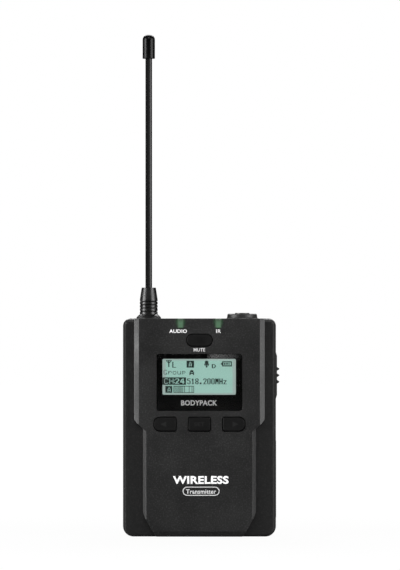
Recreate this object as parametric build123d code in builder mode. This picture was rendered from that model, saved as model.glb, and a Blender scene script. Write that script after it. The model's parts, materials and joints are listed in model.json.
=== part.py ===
"""Bodypack radio transmitter, worn on a belt and fed by a plug-in microphone.

Millimetres, +Z up, the display faces -Y and X runs to the wearer's left. The origin is the middle of
the flat bottom face, halfway between the front flanks and the back of the housing.

The pack is a deep metal housing closed by a flat rear cover. The upper half holds the circuit board with
its display, keys, side switch and top connectors. The lower half holds two AA cells lying on their sides,
one above the other, which slide in through a door in the right-hand side.
"""

import os
from math import hypot

from build123d import *

os.makedirs("parts", exist_ok=True)

# ---------------------------------------------------------------- driving sizes
# Housing
body_width = 64.0
body_height = 91.2
body_depth = 22.0
top_corner_radius = 3.0
bottom_corner_radius = 4.4
front_edge_radius = 1.5
side_wall = 1.5
front_wall = 1.6
cover_thickness = 2.0
cover_edge_radius = 1.2

# Raised front panel
panel_rise = 1.4
panel_wall = 1.8
panel_upper_half = 27.3
panel_lower_half = 23.6
panel_foot_half = 17.9
shoulder_top = 49.0
shoulder_bottom = 45.75
foot_top = 10.2
upper_bevel = 2.0
lower_bevel = 1.3
diagonal_bevel = 0.6
foot_bevel = 2.2
panel_edge_radius = 0.4

# Display
window_width = 35.7
window_height = 23.7
window_radius = 1.0
window_z = 64.6
lens_thickness = 0.95
mask_thickness = 0.1
mask_gap = 0.06
lens_recess = 0.05
view_width = 30.7
view_height = 15.0
view_radius = 0.6
view_x = -0.1
view_z = 66.9
glass_width = 34.0
glass_height = 19.0
glass_thickness = 1.4
backlight_thickness = 2.0
gasket_thickness = 0.5
frame_rim = 1.0
flex_thickness = 0.12

# Keys
key_pitch = 14.4
key_width = 9.0
key_height = 5.6
key_z = 47.1
key_round = 2.4
key_corner = 0.7
mute_width = 10.3
mute_height = 4.8
mute_z = 82.2
key_gap = 0.4
key_proud = 0.35
key_flange = 0.7
key_flange_thickness = 0.8
key_travel = 0.5
rib_pitch = 1.4

# Circuit board
board_thickness = 1.2
board_tray_gap = 2.6
board_top_gap = 2.2
board_side_gap = 2.0
board_neck_half_width = 9.6
board_neck_height = 5.5
board_gap = 5.0
switch_side = 4.5
switch_height = 3.3
plunger_radius = 0.85

# Indicator light pipes
pipe_x = 7.9
pipe_width = 2.4
pipe_height = 3.7
pipe_depth = 3.5

# Top connectors
connector_y = 0.5

# Antenna
antenna_x = -21.4
whip_radius = 1.4
whip_length = 104.2
tip_radius = 2.6
tip_length = 10.1
tip_beyond_whip = 2.2
boot_radius = 3.75
boot_rise = 13.0
boot_top_radius = 2.95
boot_taper_length = 5.2
base_radius = 5.15
base_height = 1.5
washer_thickness = 0.3
stud_radius = 2.5
stud_depth = 4.0
thread_clearance = 0.05
groove_size = 0.27
groove_first = 1.25
groove_pitch = 1.38
groove_count = 4
socket_radius = 3.3
insulator_radius = 4.0
insulator_flange = 4.8

# Microphone socket
jack_x = 17.9
jack_bore_radius = 1.8
jack_barrel_radius = 3.0
jack_barrel_length = 14.8
jack_proud = 0.35
collar_radius = 6.2
collar_height = 2.0
collar_well_radius = 4.4
collar_sleeve_radius = 5.4

# Side switch
knob_z = 67.4
knob_length = 19.4
knob_width = 8.0
knob_proud = 0.5
knob_y = -2.0
knob_travel = 2.5
knob_seat = 0.7
knob_gap = 0.25
ridge_pitch = 2.7
ridge_height = 0.95
ridge_foot = 1.5

# Power socket on the other side
port_z = 62.0
port_length = 7.5
port_height = 2.6

# Battery compartment
cell_radius = 7.25
cell_length = 50.5
cell_nub_radius = 2.7
cell_nub_length = 1.3
cell_clearance = 0.25
cell_web = 0.4
cell_y = -1.2
cell_middle_z = 24.0
tray_end_wall = 1.2
cell_play = 0.1
contact_thickness = 0.3
contact_size = 9.0
tail_width = 1.2
spring_length = 5.1
spring_wire = 0.35
spring_turns = 3.5
spring_foot_radius = 3.9
spring_taper = 15

# Battery door
door_height = 32.0
door_proud = 0.1
door_thickness = 1.65
door_gap = 0.2
hinge_radius = 1.3
hinge_pin_radius = 0.5
hinge_clearance = 0.05
hinge_y = 7.55

# Belt clip
clip_width = 20.6
clip_end_width = 15.0
clip_thickness = 1.0
clip_gap = 5.0
clip_pivot_z = 80.0
clip_pin_radius = 1.0
clip_barrel_radius = 2.0
clip_tab = 8.5
clip_foot_z = 34.0
clip_touch_gap = 0.3
clip_lug_thickness = 2.0
clip_lug_gap = 0.2
clip_window_half = 5.4
clip_spring_wire = 0.3
clip_spring_radius = 1.5
clip_spring_pitch = 0.9
clip_spring_length = 8.1

# Screws
cover_screw_radius = 1.0
cover_screw_head = 1.9
cover_screw_inset = 3.6
cover_post_radius = 2.2
board_screw_radius = 0.8
board_screw_head = 1.4
board_post_radius = 1.8

# ---------------------------------------------------------------- places worked out from them
half_width = body_width / 2
front_y = -body_depth / 2
back_y = body_depth / 2
split_y = back_y - cover_thickness
panel_y = front_y - panel_rise
inner_front_y = front_y + front_wall
inner_panel_y = panel_y + panel_wall
inner_half = half_width - side_wall
board_front_y = inner_panel_y + board_gap
board_back_y = board_front_y + board_thickness
hinge_x = half_width + door_proud - hinge_radius
door_inner_x = half_width + door_proud - door_thickness
link_x = door_inner_x - contact_thickness
tray_left_x = link_x - cell_length - cell_play - spring_length - contact_thickness
tray_right_x = hinge_x - hinge_radius - 0.2
clip_pivot_y = back_y + clip_gap + clip_thickness - clip_barrel_radius
clip_inner_y = back_y + clip_gap
cell_bore_radius = cell_radius + cell_clearance
cell_pitch = 2 * cell_bore_radius + cell_web
tray_half_height = cell_pitch / 2 + cell_bore_radius + 0.7
board_bottom = cell_middle_z + tray_half_height + board_tray_gap
board_top = body_height - board_top_gap
board_neck_z = board_top - board_neck_height
board_half_width = half_width - board_side_gap
boot_top = body_height + boot_rise
boot_shoulder = boot_top - boot_taper_length
whip_top = boot_top + whip_length
tip_top = whip_top + tip_beyond_whip
tip_bottom = tip_top - tip_length
tray_back_y = cell_y + cell_bore_radius + 0.7
door_front_y = cell_y - cell_bore_radius - 0.3
hinge_pin_length = door_height + 2 * door_gap + 5.0
port_y = board_back_y + port_height / 2
tail_y = board_back_y + contact_thickness / 2
terminal_z = board_bottom + 3.0
cell_rows = {"upper": cell_middle_z + cell_pitch / 2, "lower": cell_middle_z - cell_pitch / 2}
key_places = {"left_key": -key_pitch, "set_key": 0.0, "right_key": key_pitch}
cover_screw_places = [
    (side * (half_width - cover_screw_inset), z)
    for side in (-1, 1)
    for z in (cover_screw_inset, body_height - cover_screw_inset)
]
board_screw_places = [
    (side * x, z)
    for side in (-1, 1)
    for x, z in ((board_half_width - 7.4, board_bottom + 2.5), (11.0, board_neck_z - 3.1))
]


def facing_front(y):
    """Plane square to the depth at y: X across, Z up, extruding towards the front."""
    return Plane.XZ.offset(-y)


def facing_side(x):
    """Plane square to the width at x: Y across, Z up, extruding towards +X."""
    return Plane.YZ.offset(x)


def upright(x, y=connector_y):
    """Plane through a vertical axis at x, y: radius across, Z up."""
    return Plane(origin=(x, y, 0), x_dir=(1, 0, 0), z_dir=(0, -1, 0))


def upright_axis(x, y=connector_y):
    return Axis((x, y, 0), (0, 0, 1))


def finish(name, builder):
    """Labels a finished piece and writes it."""
    builder.part.label = name
    export_step(builder.part, f"parts/{name}.step")


# ---------------------------------------------------------------- outlines shared by several pieces
def body_outline(inset=0.0):
    """The pack seen from the front, tighter corners at the top, moved inwards by inset."""
    with BuildSketch(Plane.XY) as outline:
        with Locations((0, body_height / 2)):
            Rectangle(body_width - 2 * inset, body_height - 2 * inset)
        fillet(outline.vertices().group_by(Axis.Y)[-1], top_corner_radius - inset)
        fillet(outline.vertices().group_by(Axis.Y)[0], bottom_corner_radius - inset)
    return outline.sketch_local


def moved_line(start, end, shift, x=None, z=None):
    """The point at x, or at z, of a line from start to end after moving it sideways by shift."""
    dx, dz = end[0] - start[0], end[1] - start[1]
    length = hypot(dx, dz)
    moved_x, moved_z = start[0] + shift * dz / length, start[1] - shift * dx / length
    if z is None:
        return (x, moved_z + (x - moved_x) * dz / dx)
    return (moved_x + (z - moved_z) * dx / dz, z)


def panel_outline(upper=0.0, lower=0.0, diagonal=0.0, foot=0.0):
    """Raised front panel: broad round the display, narrower below the keys, drawn in at the foot."""
    shoulder = (panel_upper_half, shoulder_top), (panel_lower_half, shoulder_bottom)
    taper = (panel_lower_half, foot_top), (panel_foot_half, 0)
    right = [
        (panel_upper_half - upper, body_height),
        moved_line(*shoulder, -diagonal, x=panel_upper_half - upper),
        moved_line(*shoulder, -diagonal, x=panel_lower_half - lower),
        moved_line(*taper, -diagonal, x=panel_lower_half - lower),
        moved_line(*taper, -diagonal, z=foot),
    ]
    left = [(-x, z) for x, z in reversed(right)]
    with BuildSketch(Plane.XY) as outline:
        with BuildLine():
            Polyline(*right, *left, close=True)
        make_face()
    return outline.sketch_local


def rounded_box(width, height, radius):
    with BuildSketch(Plane.XY) as outline:
        RectangleRounded(width, height, radius)
    return outline.sketch_local


def key_outline(name, grow=0.0):
    """A key seen from the front, grown by grow on every side: the outer keys are round on their outer end."""
    with BuildSketch(Plane.XY) as outline:
        Rectangle(key_width + 2 * grow, key_height + 2 * grow)
        corners = outline.vertices()
        if name == "set_key":
            fillet(corners, key_corner + grow)
        else:
            outer, inner = (0, -1) if name == "left_key" else (-1, 0)
            fillet(corners.group_by(Axis.X)[outer], key_round + grow)
            fillet(outline.vertices().group_by(Axis.X)[inner], key_corner + grow)
    return outline.sketch_local


def mute_outline(grow=0.0):
    with BuildSketch(Plane.XY) as outline:
        RectangleRounded(mute_width + 2 * grow, mute_height + 2 * grow, mute_height * 0.46 + grow)
    return outline.sketch_local


# ---------------------------------------------------------------- housing and cover
with BuildPart() as housing:
    # the outer solid: a rounded block with the bevelled front panel raised on it
    with BuildSketch(facing_front(split_y)):
        add(body_outline())
    block = extrude(amount=split_y - front_y)
    fillet(block.faces().sort_by(Axis.Y)[0].edges(), front_edge_radius)
    with BuildSketch(facing_front(front_y + front_wall)):
        add(panel_outline())
    extrude(amount=front_wall)
    with BuildSketch(facing_front(front_y)):
        add(panel_outline())
    with BuildSketch(facing_front(panel_y)):
        add(panel_outline(upper_bevel, lower_bevel, diagonal_bevel, foot_bevel))
    loft(ruled=True)
    panel_face = housing.faces().filter_by(Axis.Y).sort_by(Axis.Y)[0]
    panel_edges = [edge for edge in panel_face.edges() if edge.center().Z < body_height - 0.01]
    fillet(panel_edges, panel_edge_radius)

    # hollows the block from the back, deeper behind the display and the keys
    with BuildSketch(facing_front(split_y)):
        add(body_outline(side_wall))
    extrude(amount=split_y - inner_front_y, mode=Mode.SUBTRACT)
    pocket_bottom, pocket_top = key_z - key_height / 2 - 1.6, body_height - side_wall - 1.2
    with BuildSketch(facing_front(inner_front_y)):
        with Locations((0, (pocket_bottom + pocket_top) / 2)):
            Rectangle(2 * panel_lower_half - 4.0, pocket_top - pocket_bottom)
    extrude(amount=inner_front_y - inner_panel_y, mode=Mode.SUBTRACT)

    # screw posts for the rear cover and the board, stop ribs under the battery tray, door hinge blocks
    with BuildSketch(facing_front(split_y)):
        with Locations(*cover_screw_places):
            Circle(cover_post_radius)
    extrude(amount=split_y - inner_front_y)
    with BuildSketch(facing_front(board_front_y)):
        with Locations(*board_screw_places):
            Circle(board_post_radius)
    extrude(amount=board_front_y - inner_panel_y)
    rib_top = cell_middle_z - tray_half_height - 0.1
    with BuildSketch(facing_front(tray_back_y)):
        for x in (-14.0, 14.0):
            with Locations((x, (side_wall + rib_top) / 2)):
                Rectangle(1.6, rib_top - side_wall + 0.02)
    extrude(amount=tray_back_y - inner_front_y)
    for end in (-1, 1):
        z = cell_middle_z + end * (door_height / 2 + door_gap + 1.5)
        with Locations(((hinge_x - hinge_radius + half_width) / 2 - 0.4, (hinge_y - hinge_radius + split_y) / 2, z)):
            Box(half_width - hinge_x + hinge_radius - 0.8, split_y - hinge_y + hinge_radius, 3.0)

    # display recess, keys, light pipes, top connectors, side switch, power socket and battery door
    lens_pocket = lens_recess + lens_thickness + mask_gap + mask_thickness
    with BuildSketch(facing_front(panel_y)):
        with Locations((0, window_z)):
            add(rounded_box(window_width + 0.2, window_height + 0.2, window_radius))
    extrude(amount=-lens_pocket, mode=Mode.SUBTRACT)
    with BuildSketch(facing_front(panel_y)):
        with Locations((view_x, view_z)):
            add(rounded_box(view_width + 1.4, view_height + 1.4, view_radius))
        for name, x in key_places.items():
            with Locations((x, key_z)):
                add(key_outline(name, key_gap))
        with Locations((0, mute_z)):
            add(mute_outline(key_gap))
    extrude(amount=-panel_wall, mode=Mode.SUBTRACT)
    with Locations(*[(side * pipe_x, panel_y + pipe_depth / 2, body_height - pipe_height / 2) for side in (-1, 1)]):
        Box(pipe_width, pipe_depth, pipe_height, mode=Mode.SUBTRACT)
    with Locations((antenna_x, connector_y, body_height)):
        Cylinder(insulator_radius, 4 * side_wall, mode=Mode.SUBTRACT)
    with Locations((jack_x, connector_y, body_height)):
        Cylinder(collar_sleeve_radius, 4 * side_wall, mode=Mode.SUBTRACT)
    with Locations((half_width, knob_y, knob_z - knob_travel / 2)):
        seat_length = knob_length + knob_travel + 2 * knob_gap
        Box(2 * knob_seat, knob_width + 2 * knob_gap, seat_length, mode=Mode.SUBTRACT)
        Box(4 * side_wall, 1.8 + 2 * knob_gap, 3.0 + knob_travel + 2 * knob_gap, mode=Mode.SUBTRACT)
    with BuildSketch(facing_side(-half_width - 1)):
        with Locations((port_y, port_z)):
            RectangleRounded(port_height + 0.4, port_length + 0.4, 0.9)
    extrude(amount=side_wall + 2, mode=Mode.SUBTRACT)
    opening_front = door_front_y - door_gap
    with Locations((half_width, (opening_front + split_y) / 2, cell_middle_z)):
        Box(4 * side_wall, split_y - opening_front, door_height + 2 * door_gap, mode=Mode.SUBTRACT)

    # pilot holes for the screws and the hinge pin's seats
    with BuildSketch(facing_front(split_y)):
        with Locations(*cover_screw_places):
            Circle(cover_screw_radius)
    extrude(amount=9.0, mode=Mode.SUBTRACT)
    with BuildSketch(facing_front(board_front_y)):
        with Locations(*board_screw_places):
            Circle(board_screw_radius)
    extrude(amount=3.0, mode=Mode.SUBTRACT)
    with Locations((hinge_x, hinge_y, cell_middle_z)):
        Cylinder(hinge_pin_radius, hinge_pin_length, mode=Mode.SUBTRACT)
finish("housing", housing)

with BuildPart() as rear_cover:
    with BuildSketch(facing_front(back_y)):
        add(body_outline())
    extrude(amount=cover_thickness)
    fillet(rear_cover.faces().sort_by(Axis.Y)[-1].edges(), cover_edge_radius)
    # ribs that locate the cover in the housing and hold the battery tray
    with BuildSketch(facing_front(split_y)):
        for z in (side_wall + 0.7, body_height - side_wall - 0.7):
            with Locations((0, z)):
                Rectangle(36.0, 1.2)
        with Locations((-inner_half + 0.7, 47.0)):
            Rectangle(1.2, 66.0)
    extrude(amount=1.2)
    with BuildSketch(facing_front(split_y)):
        with Locations((-12.0, cell_middle_z), (12.0, cell_middle_z)):
            Rectangle(1.6, 22.0)
    extrude(amount=split_y - tray_back_y - 0.1)
    # lugs of the belt clip
    for side in (-1, 1):
        lug_x = side * (clip_width / 2 + clip_lug_gap + clip_lug_thickness / 2)
        with BuildSketch(facing_side(lug_x - clip_lug_thickness / 2)):
            with Locations((clip_pivot_y, clip_pivot_z)):
                Circle(clip_barrel_radius + 0.4)
            with BuildLine():
                Polyline(
                    (back_y - 0.5, clip_pivot_z + 4.6),
                    (clip_pivot_y + 0.6, clip_pivot_z + clip_barrel_radius + 0.3),
                    (clip_pivot_y + 0.6, clip_pivot_z - clip_barrel_radius - 0.3),
                    (back_y - 0.5, clip_pivot_z - 4.6),
                    close=True,
                )
            make_face()
        extrude(amount=clip_lug_thickness)
    with Locations((0, clip_pivot_y, clip_pivot_z)):
        Cylinder(clip_pin_radius, body_width / 2, rotation=(0, 90, 0), mode=Mode.SUBTRACT)
    with Locations(*[Location((x, back_y, z), (-90, 0, 0)) for x, z in cover_screw_places]):
        CounterSinkHole(cover_screw_radius + 0.1, cover_screw_head + 0.1, depth=2 * cover_thickness)
finish("rear_cover", rear_cover)

with BuildPart() as cover_screws:
    for x, z in cover_screw_places:
        with BuildSketch(Plane(origin=(x, back_y - 0.1, z), x_dir=(1, 0, 0), z_dir=(0, 0, 1))):
            with BuildLine():
                Polyline(
                    (0, 0),
                    (cover_screw_head, 0),
                    (cover_screw_radius, cover_screw_radius - cover_screw_head),
                    (cover_screw_radius, -8.0),
                    (0, -8.0),
                    close=True,
                )
            make_face()
        revolve(axis=Axis((x, 0, z), (0, 1, 0)))
        with Locations((x, back_y, z)):
            Box(2.4, 1.0, 0.5, mode=Mode.SUBTRACT)
            Box(0.5, 1.0, 2.4, mode=Mode.SUBTRACT)
finish("cover_screws", cover_screws)

# ---------------------------------------------------------------- display stack
lens_y = panel_y + lens_recess
lens_back_y = lens_y + lens_thickness
mask_y = lens_back_y + mask_gap
gasket_y = inner_panel_y
glass_y = gasket_y + gasket_thickness
backlight_y = glass_y + glass_thickness
frame_floor_y = backlight_y + backlight_thickness

with BuildPart() as window_lens:
    with BuildSketch(facing_front(lens_back_y)):
        with Locations((0, window_z)):
            add(rounded_box(window_width, window_height, window_radius))
    extrude(amount=lens_thickness)
    chamfer(window_lens.faces().sort_by(Axis.Y)[0].edges(), 0.12)
finish("window_lens", window_lens)

with BuildPart() as window_mask:
    with BuildSketch(facing_front(mask_y + mask_thickness)):
        with Locations((0, window_z)):
            add(rounded_box(window_width - 0.1, window_height - 0.1, window_radius))
        with Locations((view_x, view_z)):
            RectangleRounded(view_width, view_height, view_radius, mode=Mode.SUBTRACT)
    extrude(amount=mask_thickness)
finish("window_mask", window_mask)

with BuildPart() as lcd_gasket:
    with BuildSketch(facing_front(glass_y)):
        with Locations((view_x, view_z)):
            Rectangle(glass_width, glass_height)
            RectangleRounded(view_width + 1.4, view_height + 1.4, view_radius, mode=Mode.SUBTRACT)
    extrude(amount=gasket_thickness)
finish("lcd_gasket", lcd_gasket)

with BuildPart() as lcd_glass:
    with BuildSketch(facing_front(backlight_y)):
        with Locations((view_x, view_z)):
            Rectangle(glass_width, glass_height)
    extrude(amount=glass_thickness)
finish("lcd_glass", lcd_glass)

with BuildPart() as lcd_backlight:
    with BuildSketch(facing_front(frame_floor_y)):
        with Locations((view_x, view_z)):
            Rectangle(glass_width - 0.1, glass_height - 0.1)
    extrude(amount=backlight_thickness)
finish("lcd_backlight", lcd_backlight)

with BuildPart() as lcd_frame:
    with BuildSketch(facing_front(board_front_y)):
        with Locations((view_x, view_z)):
            Rectangle(glass_width + 2 * frame_rim, glass_height + 2 * frame_rim)
    extrude(amount=board_front_y - glass_y - 0.3)
    with BuildSketch(facing_front(frame_floor_y)):
        with Locations((view_x, view_z)):
            Rectangle(glass_width, glass_height)
    extrude(amount=frame_floor_y - glass_y, mode=Mode.SUBTRACT)
    with Locations((view_x, glass_y + glass_thickness, view_z - glass_height / 2 - frame_rim / 2)):
        Box(15.0, 2 * glass_thickness, 2 * frame_rim, mode=Mode.SUBTRACT)
finish("lcd_frame", lcd_frame)

with BuildPart() as lcd_flex:
    flex_z = view_z - glass_height / 2
    with BuildSketch(facing_side(view_x - 7.0)):
        with BuildLine():
            FilletPolyline(
                (glass_y + glass_thickness / 2, flex_z),
                (glass_y + glass_thickness / 2, flex_z - 1.8),
                (board_front_y - flex_thickness, flex_z - 1.8),
                (board_front_y - flex_thickness, flex_z - 4.2),
                radius=0.8,
            )
            offset(amount=flex_thickness, side=Side.LEFT, closed=True)
        make_face()
    extrude(amount=14.0)
finish("lcd_flex", lcd_flex)

# ---------------------------------------------------------------- keys and their switches
cap_y = panel_y - key_proud
flange_front_y = inner_panel_y + 0.05
flange_back_y = flange_front_y + key_flange_thickness
switch_front_y = board_front_y - switch_height


def make_key(name, outline, x, z, ribs=0):
    """A cap that stands a little proud of the panel, with a flange behind the panel to keep it in."""
    with BuildPart() as key:
        with BuildSketch(facing_front(flange_front_y)):
            with Locations((x, z)):
                add(outline(0.0))
        cap = extrude(amount=flange_front_y - cap_y)
        fillet(cap.faces().sort_by(Axis.Y)[0].edges(), 0.3)
        with BuildSketch(facing_front(flange_back_y)):
            with Locations((x, z)):
                add(outline(key_flange))
        extrude(amount=key_flange_thickness)
        if ribs:
            with BuildSketch(facing_front(cap_y + 0.1)):
                with GridLocations(rib_pitch, 0, ribs, 1):
                    with Locations((x, z)):
                        RectangleRounded(0.5, mute_height * 0.6, 0.24)
            extrude(amount=0.3)
    finish(name, key)


def make_plunger(name, x, z):
    """The switch's own button, which rides with the key and slides in the switch."""
    with BuildPart() as plunger:
        with BuildSketch(facing_front(switch_front_y + 0.7)):
            with Locations((x, z)):
                Circle(plunger_radius)
        extrude(amount=switch_front_y + 0.7 - flange_back_y)
    finish(name, plunger)


for name, x in key_places.items():
    make_key(name, lambda grow, name=name: key_outline(name, grow), x, key_z)
    make_plunger(name.replace("key", "plunger"), x, key_z)
make_key("mute_key", mute_outline, 0.0, mute_z, ribs=3)
make_plunger("mute_plunger", 0.0, mute_z)

with BuildPart() as tact_switches:
    switch_places = [(x, key_z) for x in key_places.values()] + [(0.0, mute_z)]
    with BuildSketch(facing_front(board_front_y)):
        with Locations(*switch_places):
            Rectangle(switch_side, switch_side)
    extrude(amount=switch_height)
    with BuildSketch(facing_front(switch_front_y)):
        with Locations(*switch_places):
            Circle(plunger_radius + 0.15)
    extrude(amount=-(0.7 + key_travel + 0.3), mode=Mode.SUBTRACT)
finish("tact_switches", tact_switches)

# ---------------------------------------------------------------- circuit board
with BuildPart() as main_board:
    with BuildSketch(facing_front(board_back_y)):
        with Locations((0, (board_bottom + board_neck_z) / 2)):
            Rectangle(2 * board_half_width, board_neck_z - board_bottom)
        with Locations((0, (board_neck_z + board_top) / 2)):
            Rectangle(2 * board_neck_half_width, board_top - board_neck_z)
        with Locations(*board_screw_places):
            Circle(board_screw_radius, mode=Mode.SUBTRACT)
    extrude(amount=board_thickness)
finish("main_board", main_board)

with BuildPart() as board_screws:
    for x, z in board_screw_places:
        with BuildSketch(Plane(origin=(x, board_back_y, z), x_dir=(1, 0, 0), z_dir=(0, 0, 1))):
            with BuildLine():
                Polyline(
                    (0, 0.9),
                    (board_screw_head, 0.9),
                    (board_screw_head, 0),
                    (board_screw_radius, 0),
                    (board_screw_radius, -4.0),
                    (0, -4.0),
                    close=True,
                )
            make_face()
        revolve(axis=Axis((x, 0, z), (0, 1, 0)))
        with Locations((x, board_back_y + 0.9, z)):
            Box(1.8, 0.8, 0.4, mode=Mode.SUBTRACT)
            Box(0.4, 0.8, 1.8, mode=Mode.SUBTRACT)
finish("board_screws", board_screws)

with BuildPart() as shield_can:
    with BuildSketch(facing_front(board_back_y + 2.6)):
        with Locations((-10.0, 64.0)):
            RectangleRounded(24.0, 20.0, 0.6)
    extrude(amount=2.6)
    with BuildSketch(facing_front(board_back_y)):
        with Locations((-10.0, 64.0)):
            Rectangle(23.6, 19.6)
    extrude(amount=-2.4, mode=Mode.SUBTRACT)
finish("shield_can", shield_can)

with BuildPart() as board_chips:
    chips = [
        (12.0, 60.0, 7.0, 7.0, 0.9),
        (12.0, 50.5, 5.0, 4.0, 1.2),
        (2.0, 49.0, 4.0, 4.0, 1.8),
        (-10.0, 64.0, 6.0, 6.0, 0.9),
        (-10.0, 49.0, 9.0, 2.4, 0.8),
        (20.5, 51.0, 4.2, 4.2, 3.2),
    ]
    for x, z, width, height, thickness in chips:
        with BuildSketch(facing_front(board_back_y + thickness)):
            with Locations((x, z)):
                Rectangle(width, height)
        extrude(amount=thickness)
finish("board_chips", board_chips)

# ---------------------------------------------------------------- indicators
pipe_back_y = panel_y + pipe_depth
led_front_y = board_front_y - 0.8
for name, side in (("audio_light_pipe", -1), ("ir_light_pipe", 1)):
    with BuildPart() as pipe:
        with Locations((side * pipe_x, panel_y + pipe_depth / 2, body_height - pipe_height / 2)):
            Box(pipe_width, pipe_depth, pipe_height)
        front_top = pipe.edges().filter_by(Axis.X).sort_by(Axis.Z)[-2:].sort_by(Axis.Y)[0]
        fillet(front_top, 0.35)
        stem_length = led_front_y - 0.1 - pipe_back_y
        with Locations((side * pipe_x, pipe_back_y + stem_length / 2, body_height - pipe_height + 0.9)):
            Box(pipe_width, stem_length, 1.8)
    finish(name, pipe)

with BuildPart() as board_leds:
    with Locations(*[(side * pipe_x, board_front_y - 0.4, body_height - pipe_height + 0.8) for side in (-1, 1)]):
        Box(1.6, 0.8, 1.2)
finish("board_leds", board_leds)

# ---------------------------------------------------------------- antenna
base_z = body_height + washer_thickness
boot_z = base_z + base_height
stud_top = boot_z + 3.5
socket_floor = body_height - stud_depth - 0.7

with BuildPart() as antenna_washer:
    with BuildSketch(Plane(origin=(antenna_x, connector_y, body_height))):
        Circle(base_radius)
        Circle(stud_radius + 2 * thread_clearance, mode=Mode.SUBTRACT)
    extrude(amount=washer_thickness)
finish("antenna_washer", antenna_washer)

with BuildPart() as antenna_base_ring:
    with BuildSketch(upright(antenna_x)):
        with BuildLine():
            slope = ThreePointArc(
                (base_radius, base_z + 0.15), (4.52, base_z + 0.85), (boot_radius, boot_z)
            )
            Polyline(slope @ 1, (stud_radius, boot_z), (stud_radius, base_z), (base_radius, base_z), slope @ 0)
        make_face()
    revolve(axis=upright_axis(antenna_x))
finish("antenna_base_ring", antenna_base_ring)

with BuildPart() as antenna_boot:
    with BuildSketch(upright(antenna_x)):
        with BuildLine():
            waist = ThreePointArc(
                (boot_radius, boot_shoulder),
                (boot_radius - 0.37, (boot_shoulder + boot_top) / 2),
                (boot_top_radius, boot_top),
            )
            Polyline(
                waist @ 1,
                (whip_radius, boot_top),
                (whip_radius, stud_top),
                (stud_radius, stud_top),
                (stud_radius, boot_z),
                (boot_radius, boot_z),
                waist @ 0,
            )
        make_face()
    revolve(axis=upright_axis(antenna_x))
    with BuildSketch(upright(antenna_x)):
        for ring in range(groove_count):
            with Locations((boot_radius, boot_z + groove_first + ring * groove_pitch)):
                RegularPolygon(groove_size, 4, rotation=0)
    revolve(axis=upright_axis(antenna_x), mode=Mode.SUBTRACT)
finish("antenna_boot", antenna_boot)

with BuildPart() as antenna_stud:
    with BuildSketch(upright(antenna_x)):
        with BuildLine():
            Polyline(
                (0, body_height - stud_depth),
                (stud_radius - 0.3, body_height - stud_depth),
                (stud_radius, body_height - stud_depth + 0.3),
                (stud_radius, stud_top),
                (0.6, stud_top),
                (0.6, stud_top - 2.5),
                (0, stud_top - 2.5),
                close=True,
            )
        make_face()
    revolve(axis=upright_axis(antenna_x))
finish("antenna_stud", antenna_stud)

with BuildPart() as antenna_core:
    with Locations((antenna_x, connector_y, stud_top - 2.5)):
        Cylinder(0.6, whip_top - 1.0 - stud_top + 2.5, align=(Align.CENTER, Align.CENTER, Align.MIN))
finish("antenna_core", antenna_core)

with BuildPart() as antenna_rod:
    with BuildSketch(Plane(origin=(antenna_x, connector_y, stud_top))):
        Circle(whip_radius)
    extrude(amount=whip_top - stud_top)
    with BuildSketch(Plane(origin=(antenna_x, connector_y, stud_top))):
        Circle(0.6)
    extrude(amount=whip_top - 1.0 - stud_top, mode=Mode.SUBTRACT)
finish("antenna_rod", antenna_rod)

with BuildPart() as antenna_tip:
    with Locations((antenna_x, connector_y, tip_bottom)):
        Cylinder(tip_radius, tip_top - tip_bottom, align=(Align.CENTER, Align.CENTER, Align.MIN))
    fillet(antenna_tip.edges().sort_by(Axis.Z)[-1], tip_radius * 0.82)
    fillet(antenna_tip.edges().sort_by(Axis.Z)[0], 0.2)
    with Locations((antenna_x, connector_y, tip_bottom)):
        Cylinder(
            whip_radius,
            whip_top - tip_bottom,
            align=(Align.CENTER, Align.CENTER, Align.MIN),
            mode=Mode.SUBTRACT,
        )
finish("antenna_tip", antenna_tip)

with BuildPart() as antenna_insulator:
    with BuildSketch(upright(antenna_x)):
        with BuildLine():
            Polyline(
                (socket_radius, body_height - 5.0),
                (insulator_radius, body_height - 5.0),
                (insulator_radius, body_height - 3.2),
                (insulator_flange, body_height - 3.2),
                (insulator_flange, body_height - side_wall),
                (insulator_radius, body_height - side_wall),
                (insulator_radius, body_height),
                (socket_radius, body_height),
                close=True,
            )
        make_face()
    revolve(axis=upright_axis(antenna_x))
finish("antenna_insulator", antenna_insulator)

with BuildPart() as antenna_socket:
    with Locations((antenna_x, connector_y, socket_floor - 1.5)):
        Cylinder(socket_radius, body_height - socket_floor + 1.5, align=(Align.CENTER, Align.CENTER, Align.MIN))
    with Locations((antenna_x, connector_y, socket_floor)):
        Cylinder(
            stud_radius + thread_clearance,
            body_height - socket_floor,
            align=(Align.CENTER, Align.CENTER, Align.MIN),
            mode=Mode.SUBTRACT,
        )
finish("antenna_socket", antenna_socket)

with BuildPart() as antenna_feed:
    feed_z = socket_floor - 1.5
    with BuildSketch(facing_side(antenna_x - 1.0)):
        with BuildLine():
            Polyline(
                (1.5, feed_z),
                (1.5, feed_z - 0.3),
                (board_back_y + 0.3, feed_z - 0.3),
                (board_back_y + 0.3, feed_z - 3.5),
                (board_back_y, feed_z - 3.5),
                (board_back_y, feed_z),
                close=True,
            )
        make_face()
    extrude(amount=2.0)
finish("antenna_feed", antenna_feed)

# ---------------------------------------------------------------- microphone socket
well_floor = body_height - 5.2
barrel_top = body_height + collar_height + jack_proud
barrel_bottom = barrel_top - jack_barrel_length

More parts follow.
